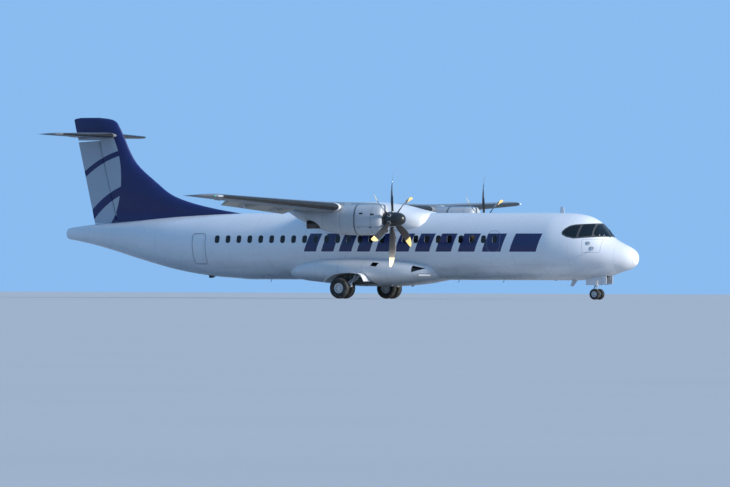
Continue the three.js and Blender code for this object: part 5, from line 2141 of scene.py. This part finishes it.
@dataclass
class Engines:
    """The nacelles with their intakes and exhausts, and the propellers with their spinners."""

    y: float = 4.05
    shaft: float = 1.09
    rows: tuple[Row, ...] = (
        (9.55, 0.400, 1.655, 0.500), (9.64, 0.450, 1.690, 0.460), (9.95, 0.505, 1.710, 0.430),
        (10.72, 0.560, 1.712, 0.425), (11.50, 0.565, 1.700, 0.450), (12.20, 0.520, 1.640, 0.590),
        (13.00, 0.420, 1.560, 0.860), (13.60, 0.300, 1.540, 1.120), (14.05, 0.150, 1.530, 1.380),
    )
    power: float = 2.35
    segments: int = 96
    vents: tuple[Row, ...] = ((10.42, 1.32), (9.92, 1.28), (10.50, 0.72), (9.98, 0.74))
    vent_half: Row = (0.085, 0.035)
    intake_half: Row = (0.25, 0.08)
    intake_height: float = 0.61
    exhaust: tuple[Row, Row] = ((12.25, 0.17, 0.88), (12.98, 0.43, 0.86))
    pipe: Row = (0.17, 0.146)
    station: float = 9.23
    radius: float = 1.965
    lip_half: Row = (0.262, 0.092)
    lip_radius: float = 0.016
    collar: tuple[Row, ...] = ((0.145, 0.0), (0.285, 0.0), (0.285, 0.11), (0.27, 0.125), (0.145, 0.125))
    shaft_hole: tuple[Row, ...] = ((0, 0), (0.14, 0), (0.14, 0.3), (0, 0.3))
    hub: Row = (0.30, 0.18)
    front_rings: tuple[Row, ...] = ((9.55, 0.90), (9.553, 0.945), (9.565, 0.98))
    ring_stations: Row = (9.59, 10.0, 14.05)
    blade_collar: Row = (0.20, 0.318, 0.078)
    blade_stations: Row = (1.80, 1.85, 1.90, 1.93, 1.95, 1.96)
    blades: int = 6
    tip: float = 8.63
    blade_rows: tuple[Row, ...] = (
        (0.24, 0.120, 0.096, 64, 0.0), (0.46, 0.170, 0.058, 60, -0.008), (0.80, 0.262, 0.036, 50, -0.034),
        (1.20, 0.300, 0.025, 40, -0.042), (1.56, 0.270, 0.017, 33, -0.004), (1.82, 0.195, 0.011, 29, 0.062),
        (1.965, 0.070, 0.006, 27, 0.138),
    )

    def build(self) -> None:
        """Builds both engines."""
        for side in Side:
            self.build_nacelle(side)
            self.build_exhaust(side)
            self.build_propeller(side)

    def build_nacelle(self, side: Side) -> None:
        """A nacelle with its intake, and the collar behind the propeller.

        Args:
            side: left or right.
        """
        shape = Curve(self.rows)
        y = side * self.y
        rings = []
        for station, scale in self.front_rings:
            half, top, bottom = shape(self.front_rings[0][0])
            middle = (top + bottom) / 2
            rings.append(oval(station, y, half * scale, middle + (top - middle) * scale, middle,
                              middle + (bottom - middle) * scale, self.power, self.segments))
        first, second, third = self.ring_stations
        for station in steps(first, second, 6) + steps(second, third, 40)[1:]:
            half, top, bottom = shape(station)
            middle = (top + bottom) / 2
            rings.append(oval(station, y, half, top, middle, bottom, self.power, self.segments))
        nacelle = Model(f"nacelle_{side.label}_skin").loft(rings, Coat.COWL).build()
        # Painted shade: each vent's slot has black walls, standing in for the shade inside it.
        for station, height in self.vents:
            half, top, bottom = shape(station)
            for way in (-1, 1):
                ends = sorted((y + way * (half - 0.05), y + way * (half + 0.1)))
                slot = rounded((x_at(station), AXIS_Z + height), self.vent_half, self.vent_half[1] * 0.9)
                carve(nacelle, Model("vent").prism(slot, *ends, Coat.BLACK).build())
        # Painted shade: the intake is a shallow cut with black walls and a black back, standing in for the
        # shade in the duct behind it.
        mouth = (y, AXIS_Z + self.intake_height)
        outline = rounded(mouth, self.intake_half, 0.075, 8)
        front = x_at(9.50)
        rings = [[Vector((x, a, b)) for a, b in outline] for x in (front, front - 0.24)]
        carve(nacelle, Model("intake_cutter").loft(rings, Coat.BLACK).build())
        hole = Model("shaft_cutter").turned(self.shaft_hole, at(9.60, y, self.shaft), AHEAD, Coat.BLACK)
        carve(nacelle, hole.build())
        fit(nacelle, Coat.COWL, f"nacelle_{side.label}", f"engine_{side.label}")
        lip = Model(f"intake_lip_{side.label}")
        path = [Vector((x_at(9.552), a, b)) for a, b in rounded(mouth, self.lip_half, 0.087, 8)]
        ring = []
        for i, point in enumerate(path):
            along = (path[(i + 1) % len(path)] - path[i - 1]).normalized()
            out = AHEAD.cross(along)
            first, second = AHEAD * self.lip_radius, out * self.lip_radius
            ring.append([point + first * math.cos(angle) + second * math.sin(angle) for angle in turns(10)])
        lip.loft(ring, Coat.STEEL, True)
        lip.turned(self.collar, at(9.56, y, self.shaft), AHEAD, Coat.BLACK, 64, True)
        fit(lip.build(), Coat.STEEL)

    def build_exhaust(self, side: Side) -> None:
        """The exhaust pipe at the nacelle's outer rear corner.

        Args:
            side: left or right.
        """
        front, back = (at(station, side * (self.y + out), height) for station, out, height in self.exhaust)
        length = (back - front).length
        outer, inner = self.pipe
        profile = [(0, 0.01), (outer - 0.01, 0.01), (outer, 0.02), (outer, length - 0.012),
                   (outer - 0.004, length), (inner + 0.004, length), (inner, length - 0.012),
                   (inner, 0.25), (0, 0.25)]
        pipe = Model(f"exhaust_{side.label}_pipe").turned(profile, front, back - front, Coat.HOT, 64)
        fit(pipe.build(), Coat.HOT, f"exhaust_{side.label}")

    def blade(self, coat: Coat, first: float, cover: float, out: float) -> Model:
        """One blade that points up, or a thin sheath over its leading edge.

        Args:
            coat: its finish.
            first: the radius at which it starts.
            cover: how much of the chord it covers, from the leading edge.
            out: how far it stands out from the blade's own skin.

        Returns:
            The blade.
        """
        shape = Curve(self.blade_rows)
        shares = [cover * (0.5 - 0.5 * math.cos(math.pi * i / 10)) for i in range(11)]
        rings = []
        bend, *outer = self.blade_stations
        for place in steps(first, bend, 18) + [*outer, self.radius]:
            chord, thick, pitch, sweep = shape(place)
            angle = math.radians(pitch)
            ring = []
            for way, run in ((1, shares[::-1]), (-1, shares[1:])):
                for share in run:
                    along = (0.5 - share) * chord + (out if share < 0.01 else 0)
                    across = way * (aerofoil(share, 1.0) * thick + 0.0008 + out)
                    ring.append(Vector((along * math.sin(angle) + across * math.cos(angle),
                                        sweep - along * math.cos(angle) + across * math.sin(angle), place)))
            rings.append(ring)
        return Model("blade").loft(rings, coat)

    def build_propeller(self, side: Side) -> None:
        """A propeller's hub with its blades, and its spinner.

        Args:
            side: left or right.
        """
        centre = at(self.station, side * self.y, self.shaft)
        low, high, thick = self.blade_collar
        collar = Model("collar").rod(UP * low, UP * high, thick, Coat.STEEL, count=28)
        parts = (
            (self.blade(Coat.BLADE, 0.24, 1.0, 0.0), Coat.BLADE),
            (self.blade(Coat.CHROME, 0.95, 0.05, 0.0012), Coat.CHROME), (collar, Coat.STEEL),
        )
        radius, half = self.hub
        name = f"propeller_{side.label}"
        drum = Model(f"{name}_blades")
        profile = [(0, -0.50), (0.09, -0.50), (0.09, -half), (radius - 0.02, -half), (radius, -half + 0.02),
                   (radius - 0.004, 0.0), (radius - 0.014, half), (0, half)]
        drum.turned(profile, centre, AHEAD, Coat.BLACK, 64)
        for part, coat in parts:
            drum.absorb(REPEATER.ring("copies", coat, part, self.blades, centre, AHEAD), coat)
        fit(drum.build(), Coat.BLADE, name, body=name)
        foot = centre + Vector((half + 0.0003, 0, 0))
        length = self.station - half - 0.0003 - self.tip
        base = radius - 0.016
        angles = steps(0, math.pi / 2, 20)[1:-1]
        dome = [(base * math.cos(angle) ** 0.82, length * math.sin(angle) ** 1.06) for angle in angles]
        dome = [(0, 0), (base, 0), *dome, (0, length)]
        spinner = Model(f"spinner_{side.label}_dome").turned(dome, foot, AHEAD, Coat.BLACK, 64)
        fit(spinner.build(), Coat.BLACK, f"spinner_{side.label}", body=name)


@dataclass(frozen=True)
class WheelSize:
    """A pair of wheels on one axle: places, tyres and rims."""

    station: float
    track: float
    spacing: float
    tyre: float
    width: float
    rim: float
    rim_width: float
    axle: float
    bolts: int
    holes: int


class Wheels:
    """The tyres and the rims of a pair of wheels.

    A shoulder's row holds shares of the wall's height and of half the width. A rim's row holds a share of
    its radius and a distance in from its face, or out from its back.
    """

    SHOULDER = ((0.04, 0.78), (0.18, 0.92), (0.42, 1.0), (0.62, 0.985), (0.78, 0.90), (0.90, 0.76))
    TREAD = (0.42, 0.14, -0.14, -0.42)
    FACE = (
        (0, 0.012), (0.22, 0.012), (0.27, 0.018), (0.29, 0.050), (0.55, 0.062), (0.76, 0.050),
        (0.84, 0.012), (0.90, 0), (0.985, 0), (1, 0.006),
    )
    BACK = ((1, 0.006), (0.985, 0), (0.90, 0), (0.84, 0.03), (0.35, 0.04))

    def __init__(self, size: WheelSize) -> None:
        """Takes the pair's sizes."""
        self.size = size

    def tyre(self, name: str, centre: Vector, body: str) -> None:
        """A tyre with round shoulders and grooves round its tread.

        Args:
            name: the piece's name.
            centre: its middle.
            body: the body that it rides on.
        """
        size = self.size
        wall = size.tyre - size.rim
        half = size.width / 2
        shoulder = [(size.rim + wall * rise, half * out) for rise, out in self.SHOULDER]
        bead, edge = (size.rim + 0.0005, half * 0.70), (size.tyre - wall * 0.035, half * 0.60)
        side = [bead, *shoulder, edge]
        tread = []
        groove = wall * 0.05
        for place in self.TREAD:
            crown = size.tyre - wall * 0.035 * (place / 0.6) ** 2
            for offset, depth in ((0.045, 0), (0.035, groove), (-0.035, groove), (-0.045, 0)):
                tread.append((crown - depth, (place + offset) * half))
        mirrored = [(radius, -offset) for radius, offset in reversed(side)]
        ring = [*side, *tread, *mirrored]
        model = Model(name).turned(ring, centre, LEFTWARD, Coat.TYRE, 72, True)
        fit(model.build(), Coat.TYRE, name.removesuffix("_rubber"), body=body)

    def rims(self, name: str, centre: Vector) -> None:
        """Both rims and their axle as one piece, with holes, bolts and hub caps.

        Args:
            name: the pair's node.
            centre: its middle.
        """
        size = self.size
        outer = (size.spacing + size.rim_width) / 2
        inner = (size.spacing - size.rim_width) / 2
        rim = size.rim
        half = [(rim * share, outer - depth) for share, depth in self.FACE]
        half += [(rim * share, inner + depth) for share, depth in self.BACK]
        half.append((size.axle, inner + 0.03))
        profile = half + [(radius, -offset) for radius, offset in reversed(half)]
        rims = Model(f"{name}_rims").turned(profile, centre, LEFTWARD, Coat.WHEEL, 64).build()
        start, end = (Vector((0, way * outer, rim * 0.66)) for way in (-1, 1))
        hole = Model("hole").rod(start, end, rim * 0.085, Coat.BLACK, count=16)
        carve(rims, REPEATER.ring("holes", Coat.BLACK, hole, size.holes, centre, LEFTWARD))
        bolt = Model("bolt")
        for way in (-1, 1):
            foot = way * (outer - 0.058)
            start, end = (Vector((rim * 0.07, y, rim * 0.44)) for y in (foot, foot + way * 0.02))
            bolt.rod(start, end, rim * 0.035, Coat.STEEL, count=6)
        bolts = REPEATER.ring(f"{name}_bolts", Coat.STEEL, bolt, size.bolts, centre, LEFTWARD)
        fit(rims, Coat.WHEEL, name, body=name)
        fit(bolts, Coat.STEEL, body=name)


@dataclass
class MainGear:
    """The trailing-arm legs, twin wheels and shelf doors at the fuselage sides."""

    wheels: WheelSize = WheelSize(12.63, 4.10, 0.50, 0.432, 0.254, 0.212, 0.20, 0.045, 10, 9)
    leg_station: float = 12.24
    leg_radius: float = 0.06
    door_thickness: float = 0.026
    door_edges: Row = (1.6203, 2.27)
    door_low: float = 0.72
    boss: tuple[Row, ...] = (
        (0.056, -0.058), (0.088, -0.058), (0.092, -0.052), (0.092, 0.052), (0.088, 0.058), (0.056, 0.058),
    )
    brake: tuple[Row, ...] = (
        (0.060, 0.062), (0.118, 0.062), (0.150, 0.072), (0.150, 0.130), (0.140, 0.138), (0.060, 0.138),
    )
    pistons: int = 5
    piston_circle: float = 0.105
    top: Row = (1.02, 1.45)
    knee_level: float = 0.60
    joint_level: float = 0.56
    sleeve: Row = (0.655, 0.49)
    clamps: Row = (0.30, 0.62, 0.86)
    pin: Row = (0.545, 0.075, 0.034)
    roof: Row = (0.21, 1.56, 1.03)
    wall: Row = (1.09, 0.76)
    shock_top: Row = (-0.06, 0, 0.02)
    shock_foot: Row = (0.10, 0, 0.07)
    leg_hole: tuple[Row, Row] = ((1.0, 1.465), (2.05, 0.6))
    door_back: float = 13.41

    def build(self, fairings: Fairings) -> None:
        """Builds both sides.

        Args:
            fairings: the fairings.
        """
        size = self.wheels
        pair = Wheels(size)
        for side in Side:
            axle = Vector((x_at(size.station), side * size.track / 2, size.tyre))
            pair.rims(f"main_wheels_{side.label}", axle)
            for part, way in (("inner", -side), ("outer", side)):
                place = axle + LEFTWARD * (way * size.spacing / 2)
                pair.tyre(f"main_tyre_{part}_{side.label}_rubber", place, f"main_wheels_{side.label}")
            self.build_leg(side, axle)
            self.build_door(side, fairings)

    def build_leg(self, side: Side, axle: Vector) -> None:
        """A leg with its trailing arm, shock strut, brakes and hoses.

        Args:
            side: left or right.
            axle: the axle's middle.
        """
        x, y = x_at(self.leg_station), side * self.wheels.track / 2
        top = Vector((x, side * self.top[0], self.top[1]))
        knee, joint = (Vector((x, y, level)) for level in (self.knee_level, self.joint_level))
        model = Model(f"main_leg_{side.label}_frame")
        radius = self.leg_radius
        model.rod(top, knee, radius + 0.008, Coat.WHEEL, radius, 32)
        for share in self.clamps:
            place = top.lerp(knee, share)
            step = (knee - top).normalized() * 0.03
            model.rod(place - step, place + step, radius + 0.018, Coat.STEEL, count=32)
        start, end = (Vector((x, y, level)) for level in self.sleeve)
        model.rod(start, end, radius + 0.012, Coat.WHEEL, count=32)
        level, half, thick = self.pin
        pin = Vector((x, y, level))
        model.rod(pin - LEFTWARD * half, pin + LEFTWARD * half, thick, Coat.CHROME, count=24)
        model.rod(pin, axle, radius - 0.004, Coat.WHEEL, radius - 0.010, 32)
        ahead, across, level = self.roof
        roof = Vector((x + ahead, side * across, level))
        model.rod(roof, roof.lerp(joint, 0.55), 0.040, Coat.WHEEL, count=24)
        model.rod(roof.lerp(joint, 0.5), joint, 0.026, Coat.CHROME, count=24)
        wall = Vector((x, side * self.wall[0], self.wall[1]))
        model.rod(wall, top.lerp(knee, 0.72), 0.026, Coat.STEEL, count=20)
        shock_top = top.lerp(knee, 0.80) + Vector(self.shock_top)
        shock_foot = axle + Vector(self.shock_foot)
        model.rod(shock_top, shock_top.lerp(shock_foot, 0.6), 0.042, Coat.WHEEL, count=24)
        model.rod(shock_top.lerp(shock_foot, 0.5), shock_foot, 0.028, Coat.CHROME, count=24)
        model.turned(self.boss, axle, LEFTWARD, Coat.WHEEL, 40, True)
        for way in (-1, 1):
            brake = [(ring, way * offset) for ring, offset in self.brake]
            model.turned(brake, axle, LEFTWARD, Coat.STEEL, 40, True)
            for angle in turns(self.pistons):
                circle = self.piston_circle
                start = axle + Vector((circle * math.cos(angle), way * 0.045, circle * math.sin(angle)))
                model.rod(start, start + LEFTWARD * (way * 0.03), 0.020, Coat.STEEL, count=14)
            hose = [top.lerp(knee, 0.35) + AHEAD * 0.075, top.lerp(knee, 0.7) + Vector((0.085, 0, 0.02)),
                    Vector((x + 0.085, y + way * 0.02, 0.62)), Vector((x + 0.02, y + way * 0.05, 0.49)),
                    Vector((x - 0.15, y + way * 0.07, 0.47)), axle + Vector((0.11, way * 0.07, 0.07))]
            model.tube(self.rounded(hose), 0.010, Coat.BLACK)
        fit(model.build(), Coat.WHEEL, f"main_leg_{side.label}")

    @staticmethod
    def rounded(points: Sequence[Vector], times: int = 3) -> list[Vector]:
        """A path with its corners cut again and again, so that it runs smoothly.

        Args:
            points: the path.
            times: how often they are cut.

        Returns:
            The smoother path.
        """
        for _ in range(times):
            path = [points[0]]
            for a, b in zip(points, points[1:]):
                path += [a.lerp(b, 0.25), a.lerp(b, 0.75)]
            points = path + [points[-1]]
        return points

    def build_door(self, side: Side, fairings: Fairings) -> None:
        """The curved shelf door that stands out over the wheels.

        Args:
            side: left or right.
            fairings: the fairings.
        """
        outline = [(s, z) for s, z in fairings.bay if z >= self.door_low]
        first, second = fairings.bay[:2]
        share = (self.door_low - first[1]) / (second[1] - first[1])
        front = (first[0] + share * (second[0] - first[0]), self.door_low)
        outline = [front, *outline, (self.door_back, self.door_low)]
        path = self.rounded([Vector((x_at(station), 0, z)) for station, z in outline], 2)
        sheet = []
        for out in (0.001, self.door_thickness):
            line = []
            for i, point in enumerate(path):
                along = (path[min(i + 1, len(path) - 1)] - path[max(i - 1, 0)]).normalized()
                line.append(point + along.cross(LEFTWARD) * out)
            sheet.append(line)
        outline = [(point.x, point.z) for point in sheet[0] + sheet[1][::-1]]
        name = f"main_gear_door_{side.label}"
        ends = on_side(side, *self.door_edges)
        door = Model(f"{name}_skin").prism(outline, *ends, Coat.WHITE).build()
        x = x_at(self.leg_station)
        start, end = (Vector((x, side * across, level)) for across, level in self.leg_hole)
        carve(door, Model("leg_hole").rod(start, end, 0.09, Coat.WHITE).build())
        fit(door, Coat.WHITE, name)


@dataclass(frozen=True)
class Bar:
    """A round bar of the nose gear, between two points ahead of, beside and above the strut's foot."""

    start: Row
    end: Row
    radius: float
    coat: Coat = Coat.STEEL
    count: int = 20


@dataclass
class NoseGear:
    """The nose leg, its steered strut with the twin wheels, and the bay's doors."""

    wheels: WheelSize = WheelSize(1.86, 0.0, 0.40, 0.225, 0.165, 0.122, 0.14, 0.030, 8, 6)
    bay_half: float = 0.26
    leg_bars: tuple[Bar, ...] = (
        Bar((0, 0, 0.665), (0, 0, 1.42), 0.072, Coat.WHEEL, 40),
        Bar((0, 0, 0.70), (0, 0, 0.76), 0.088, count=40),
        Bar((0, -0.2597, 1.42), (0, 0.2597, 1.42), 0.042, count=28),
        Bar((0.02, 0, 0.93), (0.5, 0, 1.42), 0.030, count=24),
        Bar((0.5, -0.2597, 1.42), (0.5, 0.2597, 1.42), 0.030, count=24),
    )
    side_bars: tuple[Bar, ...] = (
        Bar((0.03, 0.085, 0.80), (0.03, 0.175, 0.80), 0.022),
        Bar((0.03, 0.07, 0.86), (0.06, 0.10, 0.86), 0.018, count=16),
        Bar((-0.055, 0.045, 0.72), (-0.055, 0.115, 0.72), 0.030),
    )
    strut_bars: tuple[Bar, ...] = (
        Bar((0, 0, 0.655), (0, 0, 0.59), 0.086, Coat.WHEEL, 40),
        Bar((0, 0, 0.645), (0, 0, 0.225), 0.044, Coat.CHROME, 32),
    )
    link_bars: tuple[Bar, ...] = (
        Bar((-0.07, 0.045, 0.605), (-0.15, 0.012, 0.43), 0.014, Coat.WHEEL),
        Bar((-0.04, 0.040, 0.28), (-0.15, 0.012, 0.43), 0.014, Coat.WHEEL),
    )
    pins: tuple[Bar, ...] = (
        Bar((-0.15, -0.03, 0.43), (-0.15, 0.03, 0.43), 0.018),
        Bar((-0.07, -0.06, 0.605), (-0.07, 0.06, 0.605), 0.016),
    )
    hose: tuple[Row, ...] = ((0.075, 0.03, 1.30), (0.085, 0.03, 1.00), (0.10, 0.03, 0.80), (0.09, 0.02, 0.71))
    hose_radius: float = 0.008
    tow_plate: tuple[Row, Row] = ((0.045, -0.038, 0.191), (0.105, 0.038, 0.259))
    door_wall: Row = (0.022, 0.046)
    door_arms: Row = (1.38, 2.10)
    door_arm: tuple[Row, ...] = ((0.28, 0.84), (0.25, 0.93), (0.255, 1.05))
    lamp_place: Row = (0.05, 0.135, 0.86)
    door: tuple[Row, ...] = (
        (1.29, 0.64), (1.66, 0.61), (1.66, 0.80), (1.73, 0.80), (1.73, 0.60), (2.22, 0.60), (2.22, 1.00),
        (1.29, 1.00),
    )
    lamp: tuple[Row, ...] = ((0, 0), (0.045, 0), (0.062, 0.03), (0.066, 0.06), (0.060, 0.062), (0, 0.066))
    lens: tuple[Row, ...] = ((0, 0.0662), (0.058, 0.0662), (0.045, 0.074), (0, 0.078))
    boss: tuple[Row, ...] = (
        (0.041, -0.056), (0.058, -0.056), (0.062, -0.050), (0.062, 0.050), (0.058, 0.056), (0.041, 0.056),
    )

    def place(self, ahead: float, y: float, z: float) -> Vector:
        """A point by how far it is ahead of the strut."""
        return Vector((x_at(self.wheels.station) + ahead, y, z))

    def add_bars(self, model: Model, bars: Iterable[Bar], way: int = 1) -> None:
        """Adds some bars, mirrored where the way is -1.

        Args:
            model: what they are added to.
            bars: the bars.
            way: 1 or -1.
        """
        for bar in bars:
            start, end = (self.place(ahead, way * y, z) for ahead, y, z in (bar.start, bar.end))
            model.rod(start, end, bar.radius, bar.coat, count=bar.count)

    def build(self) -> None:
        """Builds the nose gear."""
        place = self.place
        leg = Model("nose_leg_frame")
        self.add_bars(leg, self.leg_bars)
        ahead, across, level = self.lamp_place
        for way in (-1, 1):
            lamp = place(ahead, way * across, level)
            leg.turned(self.lamp, lamp, AHEAD, Coat.STEEL, 32)
            leg.turned(self.lens, lamp, AHEAD, Coat.CLEAR_LAMP, 32)
            self.add_bars(leg, self.side_bars, way)
        leg.tube(MainGear.rounded([place(*point) for point in self.hose]), self.hose_radius, Coat.BLACK)
        fit(leg.build(), Coat.WHEEL, "nose_leg")
        fit(self.strut(), Coat.WHEEL, "nose_strut", body="nose_strut")
        pair = Wheels(self.wheels)
        axle = place(0, 0, self.wheels.tyre)
        pair.rims("nose_wheels", axle)
        for side in Side:
            middle = axle + LEFTWARD * (side * self.wheels.spacing / 2)
            pair.tyre(f"nose_tyre_{side.label}_rubber", middle, "nose_wheels")
            self.build_door(side)

    def strut(self) -> Piece:
        """The steered strut with its collar, piston, links, axle boss and tow plate.

        Returns:
            The piece.
        """
        strut = Model("nose_strut_frame")
        self.add_bars(strut, self.strut_bars)
        strut.turned(self.boss, self.place(0, 0, self.wheels.tyre), LEFTWARD, Coat.WHEEL, 40, True)
        low, high = (self.place(*corner) for corner in self.tow_plate)
        strut.block(low, high, Coat.STEEL, 0.004)
        for way in (-1, 1):
            self.add_bars(strut, self.link_bars, way)
        self.add_bars(strut, self.pins)
        return strut.build()

    def build_door(self, side: Side) -> None:
        """A bay door that hangs open beside the leg, with its two hinge arms.

        Args:
            side: left or right.
        """
        name = f"nose_gear_door_{side.label}"
        points = [(x_at(station), z) for station, z in self.door]
        ends = on_side(side, *(self.bay_half + out for out in self.door_wall))
        door = Model(f"{name}_skin").prism(points, *ends, Coat.WHITE)
        for station in self.door_arms:
            path = [Vector((x_at(station), side * across, z)) for across, z in self.door_arm]
            door.tube(path, 0.012, Coat.STEEL)
        fit(door.build(), Coat.WHITE, name)


@dataclass
class Fittings:
    """Aerials, probes, drains, the tail bumper, plates and screws on the fuselage."""

    top_aerial: tuple[Row, ...] = ((3.35, 3.55), (3.41, 3.82), (3.55, 3.82), (3.59, 3.55))
    belly_aerial: tuple[Row, ...] = ((2.74, 0.80), (2.93, 0.545), (3.09, 0.545), (3.00, 0.80))
    plates: tuple[Row, ...] = ((1.78, 0.13), (1.62, -0.08))
    probes: tuple[Row, ...] = ((1.62, -0.20, 0.16), (1.92, -0.34, 0.13))
    drains: Row = (6.2, 8.3, 17.2)
    drain: tuple[Row, ...] = ((0, 0), (0.03, 0.09), (0.07, 0.11))
    bumper: tuple[Row, ...] = ((19.80, -1.22), (19.99, -1.335), (20.14, -1.335), (20.17, -1.18))

    def blade(self, name: str, outline: tuple[Row, ...]) -> None:
        """A swept blade aerial with a rounded section.

        Args:
            name: its node.
            outline: the front and back of its foot and its tip.
        """
        (foot_front, foot), (tip_front, tip), (tip_back, _), (foot_back, _) = outline
        rings = []
        for share in (0.0, 0.3, 0.6, 0.85, 0.95, 1.0):
            front = foot_front + (tip_front - foot_front) * share
            back = foot_back + (tip_back - foot_back) * share
            z = foot + (tip - foot) * share
            thick = 0.011 * (1 - share ** 6 * 0.7)
            ratio = 2 * thick / (back - front)
            rings.append(section(front, back, ratio, lambda s, o: Vector((x_at(s), o, z)), 12, 0.001))
        fit(Model(f"{name}_blade").loft(rings, Coat.WHITE).build(), Coat.WHITE, name)

    def build(self, hull: Fuselage) -> None:
        """Builds the fittings.

        Args:
            hull: the fuselage.
        """
        self.blade("antenna_top", self.top_aerial)
        self.blade("antenna_belly", self.belly_aerial)
        probes = Model("probes")
        for side in Side:
            for station, height, length in self.probes:
                y = hull.half_width(station, height)
                foot = at(station, side * (y - 0.01), height)
                elbow = foot + LEFTWARD * (side * 0.07)
                probes.rod(foot, elbow, 0.013, Coat.STEEL)
                probes.rod(elbow - AHEAD * 0.02, elbow + AHEAD * length, 0.011, Coat.CHROME, 0.007)
        for station in self.drains:
            path = [at(station + back, 0.12, -1.37 - drop) for back, drop in self.drain]
            probes.tube(path, 0.014, Coat.STEEL)
        fit(probes.build(), Coat.STEEL)
        bumper = Model("tail_bumper").prism(side_view(self.bumper), -0.05, 0.05, Coat.BLACK)
        fit(bumper.build(), Coat.BLACK)
        self.build_studs(hull)

    def studs(self, name: str, path: Sequence[Vector], skin: Piece,
              size: Row, spacing: float, coat: Coat) -> None:
        """Small round plates or screw heads along a path, square to the skin under it.

        Args:
            name: the new piece's name.
            path: the points of the path.
            skin: what they stand on.
            size: radius and height of one.
            spacing: the distance from one to the next.
            coat: their finish.
        """
        radius, height = size
        rim = [(radius, -height), (radius, height * 0.5), (radius * 0.7, height)]
        profile = [(0, -height), *rim, (0, height)]
        stud = Model("stud").turned(profile, Vector(), UP, coat, 10).build()
        mesh = bpy.data.meshes.new("stud_path")
        mesh.from_pydata(path, [(i, i + 1) for i in range(len(path) - 1)], [])
        line = linked("stud_path", mesh)
        given = {"Piece": stud, "Path": line, "Skin": skin, "Spacing": spacing}
        fit(REPEATER.copies(name, REPEATER.studs, coat, **given), coat)

    def build_studs(self, hull: Fuselage) -> None:
        """The radome's screws and the static plates on the nose.

        Args:
            hull: the fuselage.
        """
        skin = hull.part("stud_skin", 0.5, 5.0, Coat.HULL)
        ring = hull.ring(hull.radome_end + 0.035)
        self.studs("radome_screws", [*ring, ring[0]], skin, (0.010, 0.003), 0.085, Coat.STEEL)
        for side in Side:
            for number, (station, height) in enumerate(self.plates):
                y = side * hull.half_width(station, height)
                path = [at(station + offset, y, height) for offset in (-0.06, 0.06)]
                name = f"static_plates_{side.label}_{number}"
                self.studs(name, path, skin, (0.075, 0.003), 0.05, Coat.STEEL)
        bpy.data.objects.remove(skin)


@dataclass
class Studio:
    """The floor, the light and the camera."""

    azimuth: float = 28.5
    distance: float = 300.0
    camera_height: float = 0.35
    scale: float = 23.97
    target: Row = (0.89, 0.0, 2.30)
    frame_width: float = 730.0
    roll: float = math.radians(0.23)
    sky: Colour = (0.255, 0.50, 0.87)
    sun_from: Row = (0.93, 0.06, 0.30)
    sun_power: float = 5.6
    fill: float = 0.85
    floor_rings: Row = (30.0, 90.0, 250.0, 600.0)
    floor_sides: int = 96
    floor_tones: tuple[Colour, Colour] = ((0.42, 0.43, 0.44), (0.46, 0.47, 0.48))
    sun_spread: float = math.radians(12)
    sun_colour: Colour = (1.0, 0.95, 0.88)
    sensor: float = 36.0

    def build(self) -> None:
        """Builds the scene round the aircraft."""
        self.build_world()
        self.build_floor()
        self.build_camera()
        light = bpy.data.lights.new("sun", "SUN")
        light.energy = self.sun_power
        light.angle = self.sun_spread
        light.color = self.sun_colour
        sun = linked("sun", light)
        sun.rotation_euler = Vector(self.sun_from).to_track_quat("Z", "Y").to_euler()

    def build_world(self) -> None:
        """The open sky, a little weaker as a light than it looks."""
        world = bpy.data.worlds.new("studio")
        world.use_nodes = True
        tree = world.node_tree
        background = tree.nodes["Background"]
        background.inputs["Color"].default_value = (*self.sky, 1.0)
        seen = add_node(tree, "ShaderNodeLightPath", {}).outputs["Is Camera Ray"]
        strength = add_node(tree, "ShaderNodeMapRange", {"Value": seen, "To Min": self.fill})
        tree.links.new(strength.outputs[0], background.inputs["Strength"])
        bpy.context.scene.world = world
        bpy.context.scene.view_settings.view_transform = "Standard"

    def build_floor(self) -> None:
        """A wide pale floor."""
        mesh = bpy.data.meshes.new("floor")
        count = self.floor_sides
        points = [(0.0, 0.0, 0.0)]
        faces = []
        for number, radius in enumerate(self.floor_rings):
            start = len(points)
            points += [(radius * math.cos(turn), radius * math.sin(turn), 0.0) for turn in turns(count)]
            for i in range(count):
                j = (i + 1) % count
                inner = (0,) if number == 0 else (start - count + j, start - count + i)
                faces.append((start + i, start + j, *inner))
        mesh.from_pydata(points, [], faces)
        floor = linked("floor", mesh)
        shader = Shader("studio_floor")
        tone = shader.mix(shader.noise(0.4, detail=4.0), *self.floor_tones)
        mesh.materials.append(shader.surface({"Base Color": tone, "Roughness": 0.8}, None, 0.0))

    def build_camera(self) -> None:
        """The camera at floor level, on the front right."""
        lens = bpy.data.cameras.new("camera")
        lens.sensor_width = self.sensor
        lens.lens = self.scale * self.distance / self.frame_width * lens.sensor_width
        lens.clip_end = 2000.0
        camera = linked("camera", lens)
        turn = math.radians(self.azimuth)
        target = Vector(self.target)
        place = target + Vector((math.sin(turn), -math.cos(turn), 0)) * self.distance
        place.z = self.camera_height
        look = (place - target).to_track_quat("Z", "Y").to_matrix().to_4x4()
        camera.matrix_world = Matrix.Translation(place) @ look @ Matrix.Rotation(self.roll, 4, "Z")
        bpy.context.scene.camera = camera


def main() -> None:
    """Builds the pieces in order."""
    logging.basicConfig(level=logging.INFO, format="%(message)s")
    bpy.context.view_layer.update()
    Studio().build()
    hull = Fuselage()
    fairings = Fairings()
    hull.build()
    Cockpit().build(hull)
    Doors().build(hull)
    fairings.build()
    Wing().build()
    Tail().build()
    Engines().build()
    MainGear().build(fairings)
    NoseGear().build()
    Fittings().build(hull)


if __name__ == "__main__":
    main()
